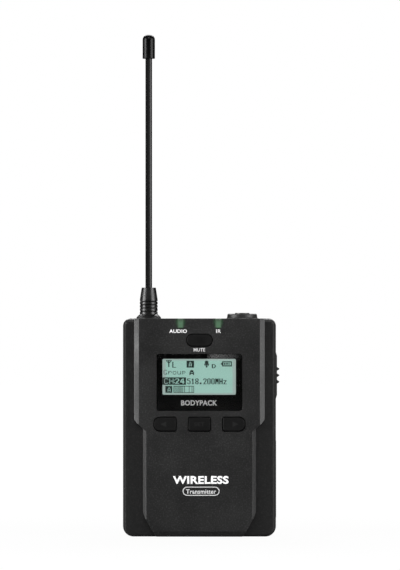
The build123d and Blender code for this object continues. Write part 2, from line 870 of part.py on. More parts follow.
with BuildPart() as mic_jack_collar:
    rim_z = body_height + collar_height
    with BuildSketch(upright(jack_x)):
        with BuildLine():
            Polyline(
                (jack_barrel_radius, well_floor - 1.0),
                (collar_sleeve_radius, well_floor - 1.0),
                (collar_sleeve_radius, body_height),
                (collar_radius + 0.45, body_height),
                (collar_radius + 0.15, body_height + 0.45),
                (collar_radius, rim_z - 0.35),
                (collar_radius - 0.35, rim_z),
                (collar_well_radius + 0.3, rim_z),
                (collar_well_radius, rim_z - 0.3),
                (collar_well_radius, well_floor),
                (jack_barrel_radius, well_floor),
                close=True,
            )
        make_face()
    revolve(axis=upright_axis(jack_x))
finish("mic_jack_collar", mic_jack_collar)

with BuildPart() as mic_jack_nut:
    with BuildSketch(Plane(origin=(jack_x, connector_y, body_height - side_wall - 2.0))):
        RegularPolygon(6.6, 6, major_radius=False)
        Circle(collar_sleeve_radius, mode=Mode.SUBTRACT)
    extrude(amount=2.0)
finish("mic_jack_nut", mic_jack_nut)

with BuildPart() as mic_jack_barrel:
    with Locations((jack_x, connector_y, barrel_bottom)):
        Cylinder(jack_barrel_radius, jack_barrel_length, align=(Align.CENTER, Align.CENTER, Align.MIN))
    with BuildSketch(upright(jack_x)):
        for ring in range(6):
            with Locations((jack_barrel_radius, barrel_top - 0.9 - ring * 0.75)):
                RegularPolygon(0.26, 4, rotation=0)
    revolve(axis=upright_axis(jack_x), mode=Mode.SUBTRACT)
    with Locations((jack_x, connector_y, barrel_bottom)):
        Cylinder(
            jack_bore_radius,
            jack_barrel_length,
            align=(Align.CENTER, Align.CENTER, Align.MIN),
            mode=Mode.SUBTRACT,
        )
finish("mic_jack_barrel", mic_jack_barrel)

block_top = well_floor - 1.0
block_bottom = barrel_bottom - 2.0
with BuildPart() as mic_jack_body:
    block_depth = 2 * (connector_y - board_back_y)
    with Locations((jack_x, connector_y, (block_top + block_bottom) / 2)):
        Box(9.0, block_depth, block_top - block_bottom)
    with Locations((jack_x, connector_y, barrel_bottom)):
        Cylinder(
            jack_barrel_radius,
            block_top - barrel_bottom,
            align=(Align.CENTER, Align.CENTER, Align.MIN),
            mode=Mode.SUBTRACT,
        )
finish("mic_jack_body", mic_jack_body)

with BuildPart() as mic_jack_contacts:
    for place in (-3.0, 0.0, 3.0):
        with Locations((jack_x + place, connector_y + block_depth / 2 + 0.15, (block_top + block_bottom) / 2)):
            Box(1.4, 0.3, block_top - block_bottom - 0.6)
finish("mic_jack_contacts", mic_jack_contacts)

# ---------------------------------------------------------------- side power switch
seat_x = half_width - knob_seat
with BuildPart() as power_knob:
    with BuildSketch(Plane(origin=(0, knob_y - knob_width / 2, 0), x_dir=(1, 0, 0), z_dir=(0, -1, 0))):
        with BuildLine():
            Polyline(
                (seat_x + 0.15, knob_z - knob_length / 2),
                (half_width + 0.05, knob_z - knob_length / 2),
                (half_width + knob_proud, knob_z - knob_length / 2 + 1.6),
                (half_width + knob_proud, knob_z + knob_length / 2 - 1.6),
                (half_width + 0.05, knob_z + knob_length / 2),
                (seat_x + 0.15, knob_z + knob_length / 2),
                close=True,
            )
        make_face()
        for ridge in (-1, 0, 1):
            with BuildLine():
                tip_x = half_width + knob_proud + ridge_height
                ridge_z = knob_z + ridge * ridge_pitch
                Polyline(
                    (half_width, ridge_z - ridge_foot / 2 - 0.2),
                    (half_width + knob_proud, ridge_z - ridge_foot / 2),
                    (tip_x, ridge_z - 0.15),
                    (tip_x, ridge_z + 0.15),
                    (half_width + knob_proud, ridge_z + ridge_foot / 2),
                    (half_width, ridge_z + ridge_foot / 2 + 0.2),
                    close=True,
                )
            make_face()
    extrude(amount=-knob_width)
    with Locations((seat_x - 1.0, knob_y, knob_z)):
        Box(2.4, 1.8, 3.0)
    with Locations((seat_x - 1.7, knob_y, knob_z)):
        Box(1.0, 1.0, 1.4, mode=Mode.SUBTRACT)
finish("power_knob", power_knob)

lever_tip_x = seat_x - 1.2
switch_face_x = 28.4
with BuildPart() as switch_lever:
    with Locations(((lever_tip_x + switch_face_x - 1.6) / 2, knob_y, knob_z)):
        Box(lever_tip_x - switch_face_x + 1.6, 1.0, 1.4)
finish("switch_lever", switch_lever)

with BuildPart() as switch_body:
    with Locations((switch_face_x - 2.2, (board_back_y + 0.5) / 2, knob_z - knob_travel / 2)):
        Box(4.4, 0.5 - board_back_y, 10.0)
    with Locations((switch_face_x - 0.9, knob_y, knob_z - knob_travel / 2)):
        Box(2.0, 1.6, 1.4 + knob_travel + 0.6, mode=Mode.SUBTRACT)
finish("switch_body", switch_body)

# ---------------------------------------------------------------- power socket
port_mouth_x = -half_width + 0.9
with BuildPart() as usb_socket:
    with BuildSketch(facing_side(port_mouth_x)):
        with Locations((port_y, port_z)):
            RectangleRounded(port_height, port_length, 0.7)
    extrude(amount=5.4)
    with BuildSketch(facing_side(port_mouth_x)):
        with Locations((port_y, port_z)):
            RectangleRounded(port_height - 0.5, port_length - 0.5, 0.5)
    extrude(amount=5.0, mode=Mode.SUBTRACT)
finish("usb_socket", usb_socket)

with BuildPart() as usb_tongue:
    with Locations((port_mouth_x + 2.9, port_y, port_z)):
        Box(4.2, 0.6, 4.6)
finish("usb_tongue", usb_tongue)

# ---------------------------------------------------------------- batteries and their contacts
with BuildPart() as battery_tray:
    tray_front_y = inner_front_y + 0.05
    with Locations(((tray_left_x - tray_end_wall + tray_right_x) / 2, (tray_front_y + tray_back_y) / 2, cell_middle_z)):
        Box(tray_right_x - tray_left_x + tray_end_wall, tray_back_y - tray_front_y, 2 * tray_half_height)
    for z in cell_rows.values():
        with Locations(Location((tray_left_x, cell_y, z), (0, 90, 0))):
            Cylinder(
                cell_bore_radius,
                body_width,
                align=(Align.CENTER, Align.CENTER, Align.MIN),
                mode=Mode.SUBTRACT,
            )
        with Locations((tray_left_x - 1.0, tail_y, z)):
            Box(2.0, contact_thickness, tail_width, mode=Mode.SUBTRACT)
finish("battery_tray", battery_tray)


def make_cell(name, z, plus_right):
    """An AA cell lying along X, with its button at the right-hand end if plus_right."""
    flat_x = tray_left_x + contact_thickness + cell_play + cell_length
    if plus_right:
        flat_x = link_x - cell_play - cell_length
    way = 1 if plus_right else -1
    with BuildPart() as cell:
        with BuildSketch(Plane(origin=(flat_x, cell_y, z), x_dir=(way, 0, 0), z_dir=(0, -way, 0))):
            with BuildLine():
                can = cell_length - cell_nub_length
                Polyline(
                    (0, 0),
                    (0, cell_radius - 0.6),
                    (0.6, cell_radius),
                    (can - 0.8, cell_radius),
                    (can, cell_radius - 0.8),
                    (can, cell_nub_radius),
                    (cell_length - 0.2, cell_nub_radius),
                    (cell_length, cell_nub_radius - 0.2),
                    (cell_length, 0),
                    close=True,
                )
            make_face()
        revolve(axis=Axis((0, cell_y, z), (1, 0, 0)))
    finish(name, cell)


def make_contact_spring(name, x, z, length, way):
    """A conical spring that stands on a contact at x and reaches length along way times X."""
    with BuildPart() as spring:
        with BuildLine(Plane.XY):
            coil = Helix(
                length / spring_turns,
                length,
                spring_foot_radius,
                center=(x, cell_y, z),
                direction=(way, 0, 0),
                cone_angle=-spring_taper,
            )
        with BuildSketch(Plane(origin=coil @ 0, z_dir=coil % 0)):
            Circle(spring_wire)
        sweep(path=coil)
    finish(name, spring)


make_cell("aa_cell_upper", cell_rows["upper"], True)
make_cell("aa_cell_lower", cell_rows["lower"], False)



def make_contact(name, z, tail_x):
    """A tray contact whose tail leaves through the tray's end and climbs to the back of the board."""
    with BuildPart() as contact:
        with Locations((tray_left_x + contact_thickness / 2, cell_y, z)):
            Box(contact_thickness, contact_size, contact_size)
        with Locations(((tail_x + tray_left_x + contact_thickness) / 2 - tail_width / 4, tail_y, z)):
            Box(tray_left_x + contact_thickness - tail_x + tail_width / 2, contact_thickness, tail_width)
        with Locations((tail_x, tail_y, (z - tail_width / 2 + terminal_z) / 2)):
            Box(tail_width, contact_thickness, terminal_z - z + tail_width / 2)
    finish(name, contact)


inner_tail_x = tray_left_x - tray_end_wall - 0.1 - tail_width / 2
make_contact("minus_contact", cell_rows["upper"], inner_tail_x)
make_contact("plus_contact", cell_rows["lower"], inner_tail_x - tail_width - 0.3)

spring_reach = spring_length - 2 * spring_wire - 0.05
minus_spring_x = tray_left_x + contact_thickness + spring_wire
make_contact_spring("minus_spring", minus_spring_x, cell_rows["upper"], spring_reach, 1)

# ---------------------------------------------------------------- battery door
door_x = (door_inner_x + half_width + door_proud) / 2
with BuildPart() as battery_door:
    with Locations((door_x, (door_front_y + hinge_y) / 2, cell_middle_z)):
        Box(door_thickness, hinge_y - door_front_y, door_height)
    outer_front = battery_door.edges().filter_by(Axis.Z).sort_by(Axis.X)[-2:].sort_by(Axis.Y)[0]
    fillet(outer_front, 0.5)
    with Locations((hinge_x, hinge_y, cell_middle_z)):
        Cylinder(hinge_radius, door_height)
        Cylinder(hinge_pin_radius + hinge_clearance, door_height, mode=Mode.SUBTRACT)
    # finger grooves by the opening edge, and the snap tab behind it
    with BuildSketch(facing_side(half_width + door_proud)):
        with Locations((door_front_y + 3.2, cell_middle_z)):
            with GridLocations(1.2, 0, 3, 1):
                SlotOverall(9.0, 0.6, rotation=90)
    extrude(amount=-0.4, mode=Mode.SUBTRACT)
    with Locations((door_inner_x - 0.3, door_front_y + 0.45, cell_middle_z)):
        Box(1.0, 0.8, 8.0)
finish("battery_door", battery_door)

with BuildPart() as door_link_plate:
    with Locations((link_x + contact_thickness / 2, cell_y, cell_middle_z)):
        Box(contact_thickness, 9.0, cell_pitch + 9.0)
finish("door_link_plate", door_link_plate)

make_contact_spring("door_spring", link_x - spring_wire, cell_rows["lower"], spring_reach, -1)

with BuildPart() as door_hinge_pin:
    with Locations((hinge_x, hinge_y, cell_middle_z)):
        Cylinder(hinge_pin_radius, hinge_pin_length)
finish("door_hinge_pin", door_hinge_pin)

# ---------------------------------------------------------------- belt clip
with BuildPart() as belt_clip:
    touch_y = back_y + clip_touch_gap
    with BuildSketch(facing_side(-clip_width / 2)):
        with BuildLine():
            sheet = FilletPolyline(
                (clip_inner_y, clip_pivot_z + clip_tab),
                (clip_inner_y, clip_foot_z + 12.0),
                (touch_y, clip_foot_z + 4.5),
                (touch_y + 2.2, clip_foot_z),
                radius=2.0,
            )
            offset(amount=clip_thickness, side=Side.LEFT, closed=True)
        make_face()
    extrude(amount=clip_width)
    for side in (-1, 1):
        barrel_length = clip_width / 2 - clip_window_half
        with Locations(
            Location((side * (clip_width / 2 - barrel_length / 2), clip_pivot_y, clip_pivot_z), (0, 90, 0))
        ):
            Cylinder(clip_barrel_radius, barrel_length)
    with Locations(Location((0, clip_pivot_y, clip_pivot_z), (0, 90, 0))):
        Cylinder(clip_pin_radius + hinge_clearance, body_width, mode=Mode.SUBTRACT)
    # the sheet narrows towards the foot and its corners are round
    with BuildSketch(facing_front(back_y)):
        with Locations((0, (clip_pivot_z + clip_foot_z) / 2)):
            Rectangle(2 * clip_width, 2 * body_height)
        with BuildLine():
            Polyline(
                (-clip_width / 2, clip_pivot_z + clip_tab),
                (-clip_width / 2, clip_pivot_z - 6.0),
                (-clip_end_width / 2, clip_pivot_z - 18.0),
                (-clip_end_width / 2, clip_foot_z - 1.0),
                (clip_end_width / 2, clip_foot_z - 1.0),
                (clip_end_width / 2, clip_pivot_z - 18.0),
                (clip_width / 2, clip_pivot_z - 6.0),
                (clip_width / 2, clip_pivot_z + clip_tab),
                close=True,
            )
        make_face(mode=Mode.SUBTRACT)
    extrude(amount=-20.0, mode=Mode.SUBTRACT)
    with BuildSketch(facing_front(back_y)):
        with Locations((0, clip_pivot_z - 24.0)):
            SlotOverall(14.0, 5.0, rotation=90)
        with Locations((0, clip_pivot_z)):
            RectangleRounded(2 * clip_window_half, 5.0, 0.5)
    extrude(amount=-20.0, mode=Mode.SUBTRACT)
finish("belt_clip", belt_clip)

pin_half = clip_width / 2 + clip_lug_gap + clip_lug_thickness
with BuildPart() as clip_pin:
    with Locations(Location((-0.15, clip_pivot_y, clip_pivot_z), (0, 90, 0))):
        Cylinder(clip_pin_radius, 2 * pin_half + 0.3)
    with Locations(Location((pin_half + 0.35, clip_pivot_y, clip_pivot_z), (0, 90, 0))):
        Cylinder(clip_pin_radius + 0.6, 0.7)
finish("clip_pin", clip_pin)

with BuildPart() as clip_spring:
    with BuildLine(Plane.XY):
        coil = Helix(
            clip_spring_pitch,
            clip_spring_length,
            clip_spring_radius,
            center=(-clip_spring_length / 2, clip_pivot_y, clip_pivot_z),
            direction=(1, 0, 0),
        )
    with BuildSketch(Plane(origin=coil @ 0, z_dir=coil % 0)):
        Circle(clip_spring_wire)
    sweep(path=coil)
finish("clip_spring", clip_spring)
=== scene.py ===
# %% [markdown]
# # A bodypack radio transmitter
#
# The pack clips to a belt and sends a microphone's signal by radio. It is a flat black metal case with a
# raised front panel, a small green display behind a black window, four keys, a rubber whip antenna and a
# round microphone socket on top. This notebook dresses the measured parts, which arrive as a frame, with
# finishes, print and small pieces, and then sets up the light and the camera.

# %% Load the measured parts
import json
import math

import bmesh
import bpy
import numpy as np
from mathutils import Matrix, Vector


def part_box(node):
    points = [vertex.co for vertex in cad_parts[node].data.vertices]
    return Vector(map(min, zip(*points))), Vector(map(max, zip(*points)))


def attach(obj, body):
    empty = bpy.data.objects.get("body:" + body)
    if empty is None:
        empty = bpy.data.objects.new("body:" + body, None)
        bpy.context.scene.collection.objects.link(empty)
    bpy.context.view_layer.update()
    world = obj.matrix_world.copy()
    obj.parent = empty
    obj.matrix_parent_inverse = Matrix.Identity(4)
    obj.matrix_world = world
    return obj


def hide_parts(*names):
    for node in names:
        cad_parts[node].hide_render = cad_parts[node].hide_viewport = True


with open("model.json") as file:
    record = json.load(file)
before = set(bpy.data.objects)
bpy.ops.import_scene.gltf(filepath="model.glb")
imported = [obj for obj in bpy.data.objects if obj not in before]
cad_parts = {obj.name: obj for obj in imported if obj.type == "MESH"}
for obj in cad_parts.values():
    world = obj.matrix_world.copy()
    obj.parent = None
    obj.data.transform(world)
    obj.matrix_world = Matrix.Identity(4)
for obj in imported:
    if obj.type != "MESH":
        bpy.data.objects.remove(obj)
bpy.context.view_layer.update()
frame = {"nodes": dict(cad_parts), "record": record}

nodes = frame["nodes"]
scene = bpy.context.scene

# %% [markdown]
# ## Measures
#
# Every place below comes from a part's own box, so that a piece stays on its part when the part changes.
# The front panel's face is the foremost metal, and the keys stand a little in front of it.

# %% Places read from the parts
MM = 0.001


def spot(name):
    """Middle and half size of a part's box, in metres."""
    low, high = (np.array(corner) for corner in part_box(name))
    return (low + high) / 2, (high - low) / 2


panel_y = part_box("housing")[0][1]
key_face_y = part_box("set_key")[0][1]
lens_back_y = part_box("window_lens")[1][1]
glass_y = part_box("lcd_glass")[0][1]
top_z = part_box("housing")[1][2]
print("panel face", panel_y, "key face", key_face_y, "case top", top_z)

# %% [markdown]
# ## Camera
#
# The pack stands upright and is seen from the front through a long lens, so its sides hardly converge.
# A far camera with a narrow view does the same. The camera stands a touch to the right, level with the
# middle of the whole object.

# %% Camera far in front
CAMERA_DISTANCE = 2.0
CAMERA_TURN = math.radians(0.4)
FRAME_HEIGHT = 238.2771 * MM
FRAME_MIDDLE = (0.25 * MM, 105.3 * MM)

camera_data = bpy.data.cameras.new("front_camera")
camera = bpy.data.objects.new("front_camera", camera_data)
scene.collection.objects.link(camera)
camera.location = (
    FRAME_MIDDLE[0] + CAMERA_DISTANCE * math.sin(CAMERA_TURN),
    panel_y - CAMERA_DISTANCE * math.cos(CAMERA_TURN),
    FRAME_MIDDLE[1],
)
camera.rotation_euler = (math.radians(90), 0, CAMERA_TURN)
camera_data.sensor_fit = "VERTICAL"
camera_data.sensor_height = 36.0
camera_data.lens = 36.0 * CAMERA_DISTANCE / FRAME_HEIGHT
camera_data.clip_end = 20.0
scene.camera = camera
print("lens", round(camera_data.lens), "mm")

# %% [markdown]
# ## Light
#
# Black things are drawn by what they reflect. Two tall softboxes stand out to the sides, where the panel's
# slanted edges and the round antenna throw them back at the camera as bright bands while the flat face
# stays dark. The left one is the key light. A box above the camera lifts the faces a little, and one high
# behind lights the back. It stays clear of the level behind the pack, or every outline would glow.


# %% Softboxes
def softbox(name, place, aim, width, height, power):
    """A rectangular light at place, turned to face aim."""
    data = bpy.data.lights.new(name, "AREA")
    data.shape = "RECTANGLE"
    data.size = width
    data.size_y = height
    data.energy = power
    light = bpy.data.objects.new(name, data)
    scene.collection.objects.link(light)
    light.location = place
    light.visible_camera = False
    away = np.array(aim) - np.array(place)
    distance = float(np.linalg.norm(away))
    light.rotation_euler = (math.acos(-away[2] / distance), 0, math.atan2(away[1], away[0]) - math.pi / 2)
    return light


AIM = (0.0, 0.0, 0.09)
softbox("left_box", (-0.95, -0.40, 0.14), AIM, 0.50, 1.0, 18.0)
softbox("right_box", (0.91, -0.53, 0.14), AIM, 0.75, 1.0, 15.0)
softbox("front_box", (0.0, -1.1, 1.3), AIM, 0.9, 0.5, 7.0)
softbox("back_box", (0.0, 1.0, 1.1), AIM, 1.4, 0.6, 24.0)

# %% [markdown]
# ### A helper for shader nodes
#
# Every material, the backdrop and the card below are built from shader nodes. One helper adds a node and
# sets it up in a single line, so that a recipe reads as a list of its steps.

# %% Add a shader node
WHITE = (1.0, 1.0, 1.0, 1.0)
BLACK = (0.0, 0.0, 0.0, 1.0)


def add_node(tree, kind, settings=None, **values):
    """Adds a shader node, sets its properties from settings and its input sockets from values."""
    node = tree.nodes.new("ShaderNode" + kind)
    for key, value in (settings or {}).items():
        setattr(node, key, value)
    for key, value in values.items():
        node.inputs[key.replace("_", " ")].default_value = value
    return node


# %% [markdown]
# ### A card for the window
#
# The window is glossy and flat, so it mirrors one small place beside the camera. A small bright card there
# gives the window a slanted glint in its upper right corner, which tells the eye that it is glossy. A point P
# of the window mirrors the place at 2P - C, C being the camera, so the card's corners follow from where the
# glint should lie on the window, given in metres across and up. The card dims towards its right end, so the
# glint has no hard edge there.

# %% The glint card
GLINT_FULL, GLINT_FAINT = 8.0 * MM, 17.0 * MM
CARD_BRIGHT, CARD_FAINT = 1.15, 0.12
glint = np.array([[3.2, 74.3], [17.4, 74.3], [17.4, 76.9], [5.4, 76.9]]) * MM
card_points = np.column_stack(
    [
        2 * glint[:, 0] - camera.location[0],
        np.full(4, camera.location[1]),
        2 * glint[:, 1] - camera.location[2],
    ]
)
card_mesh = bpy.data.meshes.new("glint_card")
card_mesh.from_pydata(card_points.tolist(), [], [(0, 1, 2, 3)])
card = bpy.data.objects.new("glint_card", card_mesh)
scene.collection.objects.link(card)
card.visible_camera = False
card.visible_diffuse = False
card.visible_shadow = False
card_paint = bpy.data.materials.new("card_white")
card_paint.use_nodes = True
tree = card_paint.node_tree
tree.nodes.clear()
where = add_node(tree, "TexCoord")
across = add_node(tree, "SeparateXYZ")
dimmer = add_node(
    tree, "MapRange", From_Min=2 * GLINT_FULL - camera.location[0],
    From_Max=2 * GLINT_FAINT - camera.location[0], To_Min=CARD_BRIGHT, To_Max=CARD_FAINT,
)
lit = add_node(tree, "Emission")
output = add_node(tree, "OutputMaterial")
tree.links.new(where.outputs["Object"], across.inputs[0])
tree.links.new(across.outputs["X"], dimmer.inputs["Value"])
tree.links.new(dimmer.outputs["Result"], lit.inputs["Strength"])
tree.links.new(lit.outputs["Emission"], output.inputs["Surface"])
card_mesh.materials.append(card_paint)
print("glint card", np.round(card_points, 3).tolist())

# %% [markdown]
# ## Backdrop
#
# The background is plain white. The world is white where the camera looks at it and dim where it lights
# the pack, or the black case would turn grey.

# %% World
scene.view_settings.view_transform = "Standard"
world = bpy.data.worlds.new("studio")
scene.world = world
world.use_nodes = True
tree = world.node_tree
tree.nodes.clear()
output = add_node(tree, "OutputWorld")
mix = add_node(tree, "MixShader")
ray = add_node(tree, "LightPath")
dim = add_node(tree, "Background", Color=WHITE, Strength=0.02)
white = add_node(tree, "Background", Color=WHITE, Strength=1.0)
tree.links.new(ray.outputs["Is Camera Ray"], mix.inputs["Fac"])
tree.links.new(dim.outputs["Background"], mix.inputs[1])
tree.links.new(white.outputs["Background"], mix.inputs[2])
tree.links.new(mix.outputs["Shader"], output.inputs["Surface"])
print("world lights the pack at", dim.inputs["Strength"].default_value)

# %% [markdown]
# ### Meshes from grids of points
#
# A surface worked out as a grid of points needs only its faces added. One helper joins each point to its
# neighbours, and another closes the places where points fall together, such as a disc's middle.


# %% Grid helpers
def grid_mesh(name, points, wrap_rows=False, wrap_columns=False, uv=None):
    """A mesh from a grid of points: each point joins the next one along its row and the next row's, as
    four-sided faces. Either direction may wrap round, and points that fall together become one. A grid
    of uv pairs, where given, becomes the mesh's UV map."""
    rows, columns = points.shape[:2]
    index = np.arange(rows * columns).reshape(rows, columns)
    if wrap_rows:
        index = np.vstack([index, index[:1]])
    if wrap_columns:
        index = np.hstack([index, index[:, :1]])
    quads = np.stack([index[:-1, :-1], index[:-1, 1:], index[1:, 1:], index[1:, :-1]], axis=-1).reshape(-1, 4)
    mesh = bpy.data.meshes.new(name)
    mesh.from_pydata(points.reshape(-1, 3).tolist(), [], quads.tolist())
    if uv is not None:
        layer = mesh.uv_layers.new(name="wrap")
        layer.data.foreach_set("uv", uv.reshape(-1, 2)[quads.ravel()].ravel())
    return tidy(mesh)


def tidy(mesh, smooth=True):
    """Merges points that fall together, turns the faces outwards and shades them smooth."""
    work = bmesh.new()
    work.from_mesh(mesh)
    bmesh.ops.remove_doubles(work, verts=work.verts, dist=1e-7)
    bmesh.ops.dissolve_degenerate(work, edges=work.edges, dist=1e-8)
    bmesh.ops.recalc_face_normals(work, faces=work.faces)
    for face in work.faces:
        face.smooth = smooth
    work.to_mesh(mesh)
    work.free()
    return mesh


# %% [markdown]
# ### A floor that fades out
#
# The floor is a wide disc of pale paper. Near the pack it takes a little of its shade, and further out it
# fades into the same white as the background, so no horizon shows.


# %% Floor
def disc_points(radius, rings=24, spokes=96):
    """Points of a flat disc at height zero: rings at growing radius, one point per spoke."""
    reach = np.linspace(0, 1, rings)[:, None] ** 1.6 * radius
    turn = np.linspace(0, 2 * np.pi, spokes, endpoint=False)[None, :]
    return np.stack([reach * np.cos(turn), reach * np.sin(turn), 0 * reach * turn], axis=-1)


floor = bpy.data.objects.new("floor", grid_mesh("floor", disc_points(3.0), wrap_columns=True))
scene.collection.objects.link(floor)

paper = bpy.data.materials.new("floor_paper")
paper.use_nodes = True
tree = paper.node_tree
shader = tree.nodes["Principled BSDF"]
shader.inputs["Base Color"].default_value = (0.30, 0.30, 0.30, 1.0)
shader.inputs["Roughness"].default_value = 0.9
glow = add_node(tree, "Emission", Strength=1.02)
ray = add_node(tree, "LightPath")
place = add_node(tree, "TexCoord")
reach = add_node(tree, "VectorMath", {"operation": "LENGTH"})
fade = add_node(tree, "MapRange", From_Min=0.05, From_Max=0.35, To_Min=0.94, To_Max=1.0)
only = add_node(tree, "Math", {"operation": "MULTIPLY"})
mix = add_node(tree, "MixShader")
tree.links.new(place.outputs["Object"], reach.inputs[0])
tree.links.new(reach.outputs["Value"], fade.inputs["Value"])
tree.links.new(fade.outputs["Result"], only.inputs[0])
tree.links.new(ray.outputs["Is Camera Ray"], only.inputs[1])
tree.links.new(only.outputs["Value"], mix.inputs["Fac"])
tree.links.new(shader.outputs["BSDF"], mix.inputs[1])
tree.links.new(glow.outputs["Emission"], mix.inputs[2])
tree.links.new(mix.outputs["Shader"], tree.nodes["Material Output"].inputs["Surface"])
floor.data.materials.append(paper)
print("floor disc of", len(floor.data.polygons), "faces")

# %% [markdown]
# ## Finishes as shared recipes
#
# Most parts share a few effects: the fine grain of powder coat or moulded plastic, edges rubbed a little
# brighter, a film of dust on what faces up, and the drawn lines of metal. Each effect is built once as a
# node group with named inputs and outputs, and each material places it with its own values.


# %% A helper for node groups
def new_group(name, inputs, outputs):
    """A node group with named sockets, given as lists of (name, kind, value). Returns the group, its
    input node and its output node."""
    group = bpy.data.node_groups.new(name, "ShaderNodeTree")
    for label, kind, value in inputs:
        socket = group.interface.new_socket(label, in_out="INPUT", socket_type="NodeSocket" + kind)
        socket.default_value = value
    for label, kind in outputs:
        group.interface.new_socket(label, in_out="OUTPUT", socket_type="NodeSocket" + kind)
    return group, group.nodes.new("NodeGroupInput"), group.nodes.new("NodeGroupOutput")


# %% [markdown]
# ### Grain
#
# Powder coat dries as tiny rounded bumps, and moulded plastic copies the etched steel of its mould. Both
# are noise: a fine one for the bumps, and a slow one that varies gloss and shade from place to place.

# %% The grain group
grain, enter, leave = new_group(
    "grain",
    [
        ("Colour", "Color", WHITE),
        ("Fleck Colour", "Color", WHITE),
        ("Grains per Metre", "Float", 3000.0),
        ("Patches per Metre", "Float", 60.0),
        ("Roughness", "Float", 0.5),
        ("Roughness Spread", "Float", 0.08),
    ],
    [("Colour", "Color"), ("Roughness", "Float"), ("Height", "Float")],
)
where = add_node(grain, "TexCoord")
fine = add_node(grain, "TexNoise", Detail=2.0, Roughness=0.55)
slow = add_node(grain, "TexNoise", Detail=3.0, Roughness=0.6)
fleck = add_node(grain, "MapRange", From_Min=0.50, From_Max=0.72)
shade = add_node(grain, "Mix", {"data_type": "RGBA"})
patch = add_node(grain, "MapRange", From_Min=0.35, From_Max=0.65, To_Min=-1.0, To_Max=1.0)
spread = add_node(grain, "Math", {"operation": "MULTIPLY"})
total = add_node(grain, "Math", {"operation": "ADD", "use_clamp": True})
link = grain.links.new
link(where.outputs["Object"], fine.inputs["Vector"])
link(where.outputs["Object"], slow.inputs["Vector"])
link(enter.outputs["Grains per Metre"], fine.inputs["Scale"])
link(enter.outputs["Patches per Metre"], slow.inputs["Scale"])
link(fine.outputs["Fac"], fleck.inputs["Value"])
link(fleck.outputs["Result"], shade.inputs["Factor"])
link(enter.outputs["Colour"], shade.inputs["A"])
link(enter.outputs["Fleck Colour"], shade.inputs["B"])
link(slow.outputs["Fac"], patch.inputs["Value"])
link(patch.outputs["Result"], spread.inputs[0])
link(enter.outputs["Roughness Spread"], spread.inputs[1])
link(spread.outputs["Value"], total.inputs[0])
link(enter.outputs["Roughness"], total.inputs[1])
link(shade.outputs["Result"], leave.inputs["Colour"])
link(total.outputs["Value"], leave.inputs["Roughness"])
link(fine.outputs["Fac"], leave.inputs["Height"])
print("grain:", len(grain.nodes), "nodes")

# %% [markdown]
# ### Rubbed edges
#
# Hands and belts polish the outer edges first. The Bevel node gives the normal as if edges were rounded,
# so wherever it differs from the true normal there is an edge. A noise breaks the line up.

# %% The rubbed edge group
rubbed, enter, leave = new_group(
    "rubbed_edges",
    [
        ("Colour", "Color", WHITE),
        ("Edge Colour", "Color", WHITE),
        ("Roughness", "Float", 0.5),
        ("Edge Roughness", "Float", 0.3),
        ("Width", "Float", 0.0003),
        ("Amount", "Float", 0.5),
    ],
    [("Colour", "Color"), ("Roughness", "Float")],
)
where = add_node(rubbed, "TexCoord")
true_normal = add_node(rubbed, "NewGeometry")
rounded = add_node(rubbed, "Bevel", {"samples": 4})
agree = add_node(rubbed, "VectorMath", {"operation": "DOT_PRODUCT"})
edge = add_node(rubbed, "MapRange", From_Min=0.995, From_Max=0.90)
broken = add_node(rubbed, "TexNoise", Scale=900.0, Detail=4.0)
gaps = add_node(rubbed, "MapRange", From_Min=0.40, From_Max=0.62)
both = add_node(rubbed, "Math", {"operation": "MULTIPLY"})
mask = add_node(rubbed, "Math", {"operation": "MULTIPLY", "use_clamp": True})
shade = add_node(rubbed, "Mix", {"data_type": "RGBA"})
gloss = add_node(rubbed, "Mix", {"data_type": "FLOAT"})
link = rubbed.links.new
link(enter.outputs["Width"], rounded.inputs["Radius"])
link(rounded.outputs["Normal"], agree.inputs[0])
link(true_normal.outputs["Normal"], agree.inputs[1])
link(agree.outputs["Value"], edge.inputs["Value"])
link(where.outputs["Object"], broken.inputs["Vector"])
link(broken.outputs["Fac"], gaps.inputs["Value"])
link(edge.outputs["Result"], both.inputs[0])
link(gaps.outputs["Result"], both.inputs[1])
link(both.outputs["Value"], mask.inputs[0])
link(enter.outputs["Amount"], mask.inputs[1])
link(mask.outputs["Value"], shade.inputs["Factor"])
link(mask.outputs["Value"], gloss.inputs["Factor"])
link(enter.outputs["Colour"], shade.inputs["A"])
link(enter.outputs["Edge Colour"], shade.inputs["B"])
link(enter.outputs["Roughness"], gloss.inputs["A"])
link(enter.outputs["Edge Roughness"], gloss.inputs["B"])
link(shade.outputs["Result"], leave.inputs["Colour"])
link(gloss.outputs["Result"], leave.inputs["Roughness"])
print("rubbed edges:", len(rubbed.nodes), "nodes")

# %% [markdown]
# ### Dust
#
# A little dust lies on what faces up. Its amount follows the normal's upward part, times a cloudy noise.

# %% The dust group
dusty, enter, leave = new_group(
    "dust",
    [("Colour", "Color", WHITE), ("Roughness", "Float", 0.5), ("Amount", "Float", 0.1)],
    [("Colour", "Color"), ("Roughness", "Float")],
)
where = add_node(dusty, "TexCoord")
facing = add_node(dusty, "NewGeometry")
split = add_node(dusty, "SeparateXYZ")
upward = add_node(dusty, "MapRange", From_Min=-0.4, From_Max=1.0)
cloud = add_node(dusty, "TexNoise", Scale=240.0, Detail=6.0, Roughness=0.7)
gather = add_node(dusty, "MapRange", From_Min=0.42, From_Max=0.70)
both = add_node(dusty, "Math", {"operation": "MULTIPLY"})
mask = add_node(dusty, "Math", {"operation": "MULTIPLY", "use_clamp": True})
shade = add_node(dusty, "Mix", {"data_type": "RGBA"})
shade.inputs["B"].default_value = (0.32, 0.31, 0.29, 1.0)
gloss = add_node(dusty, "Mix", {"data_type": "FLOAT"})
gloss.inputs["B"].default_value = 0.85
link = dusty.links.new
link(facing.outputs["Normal"], split.inputs[0])
link(split.outputs["Z"], upward.inputs["Value"])
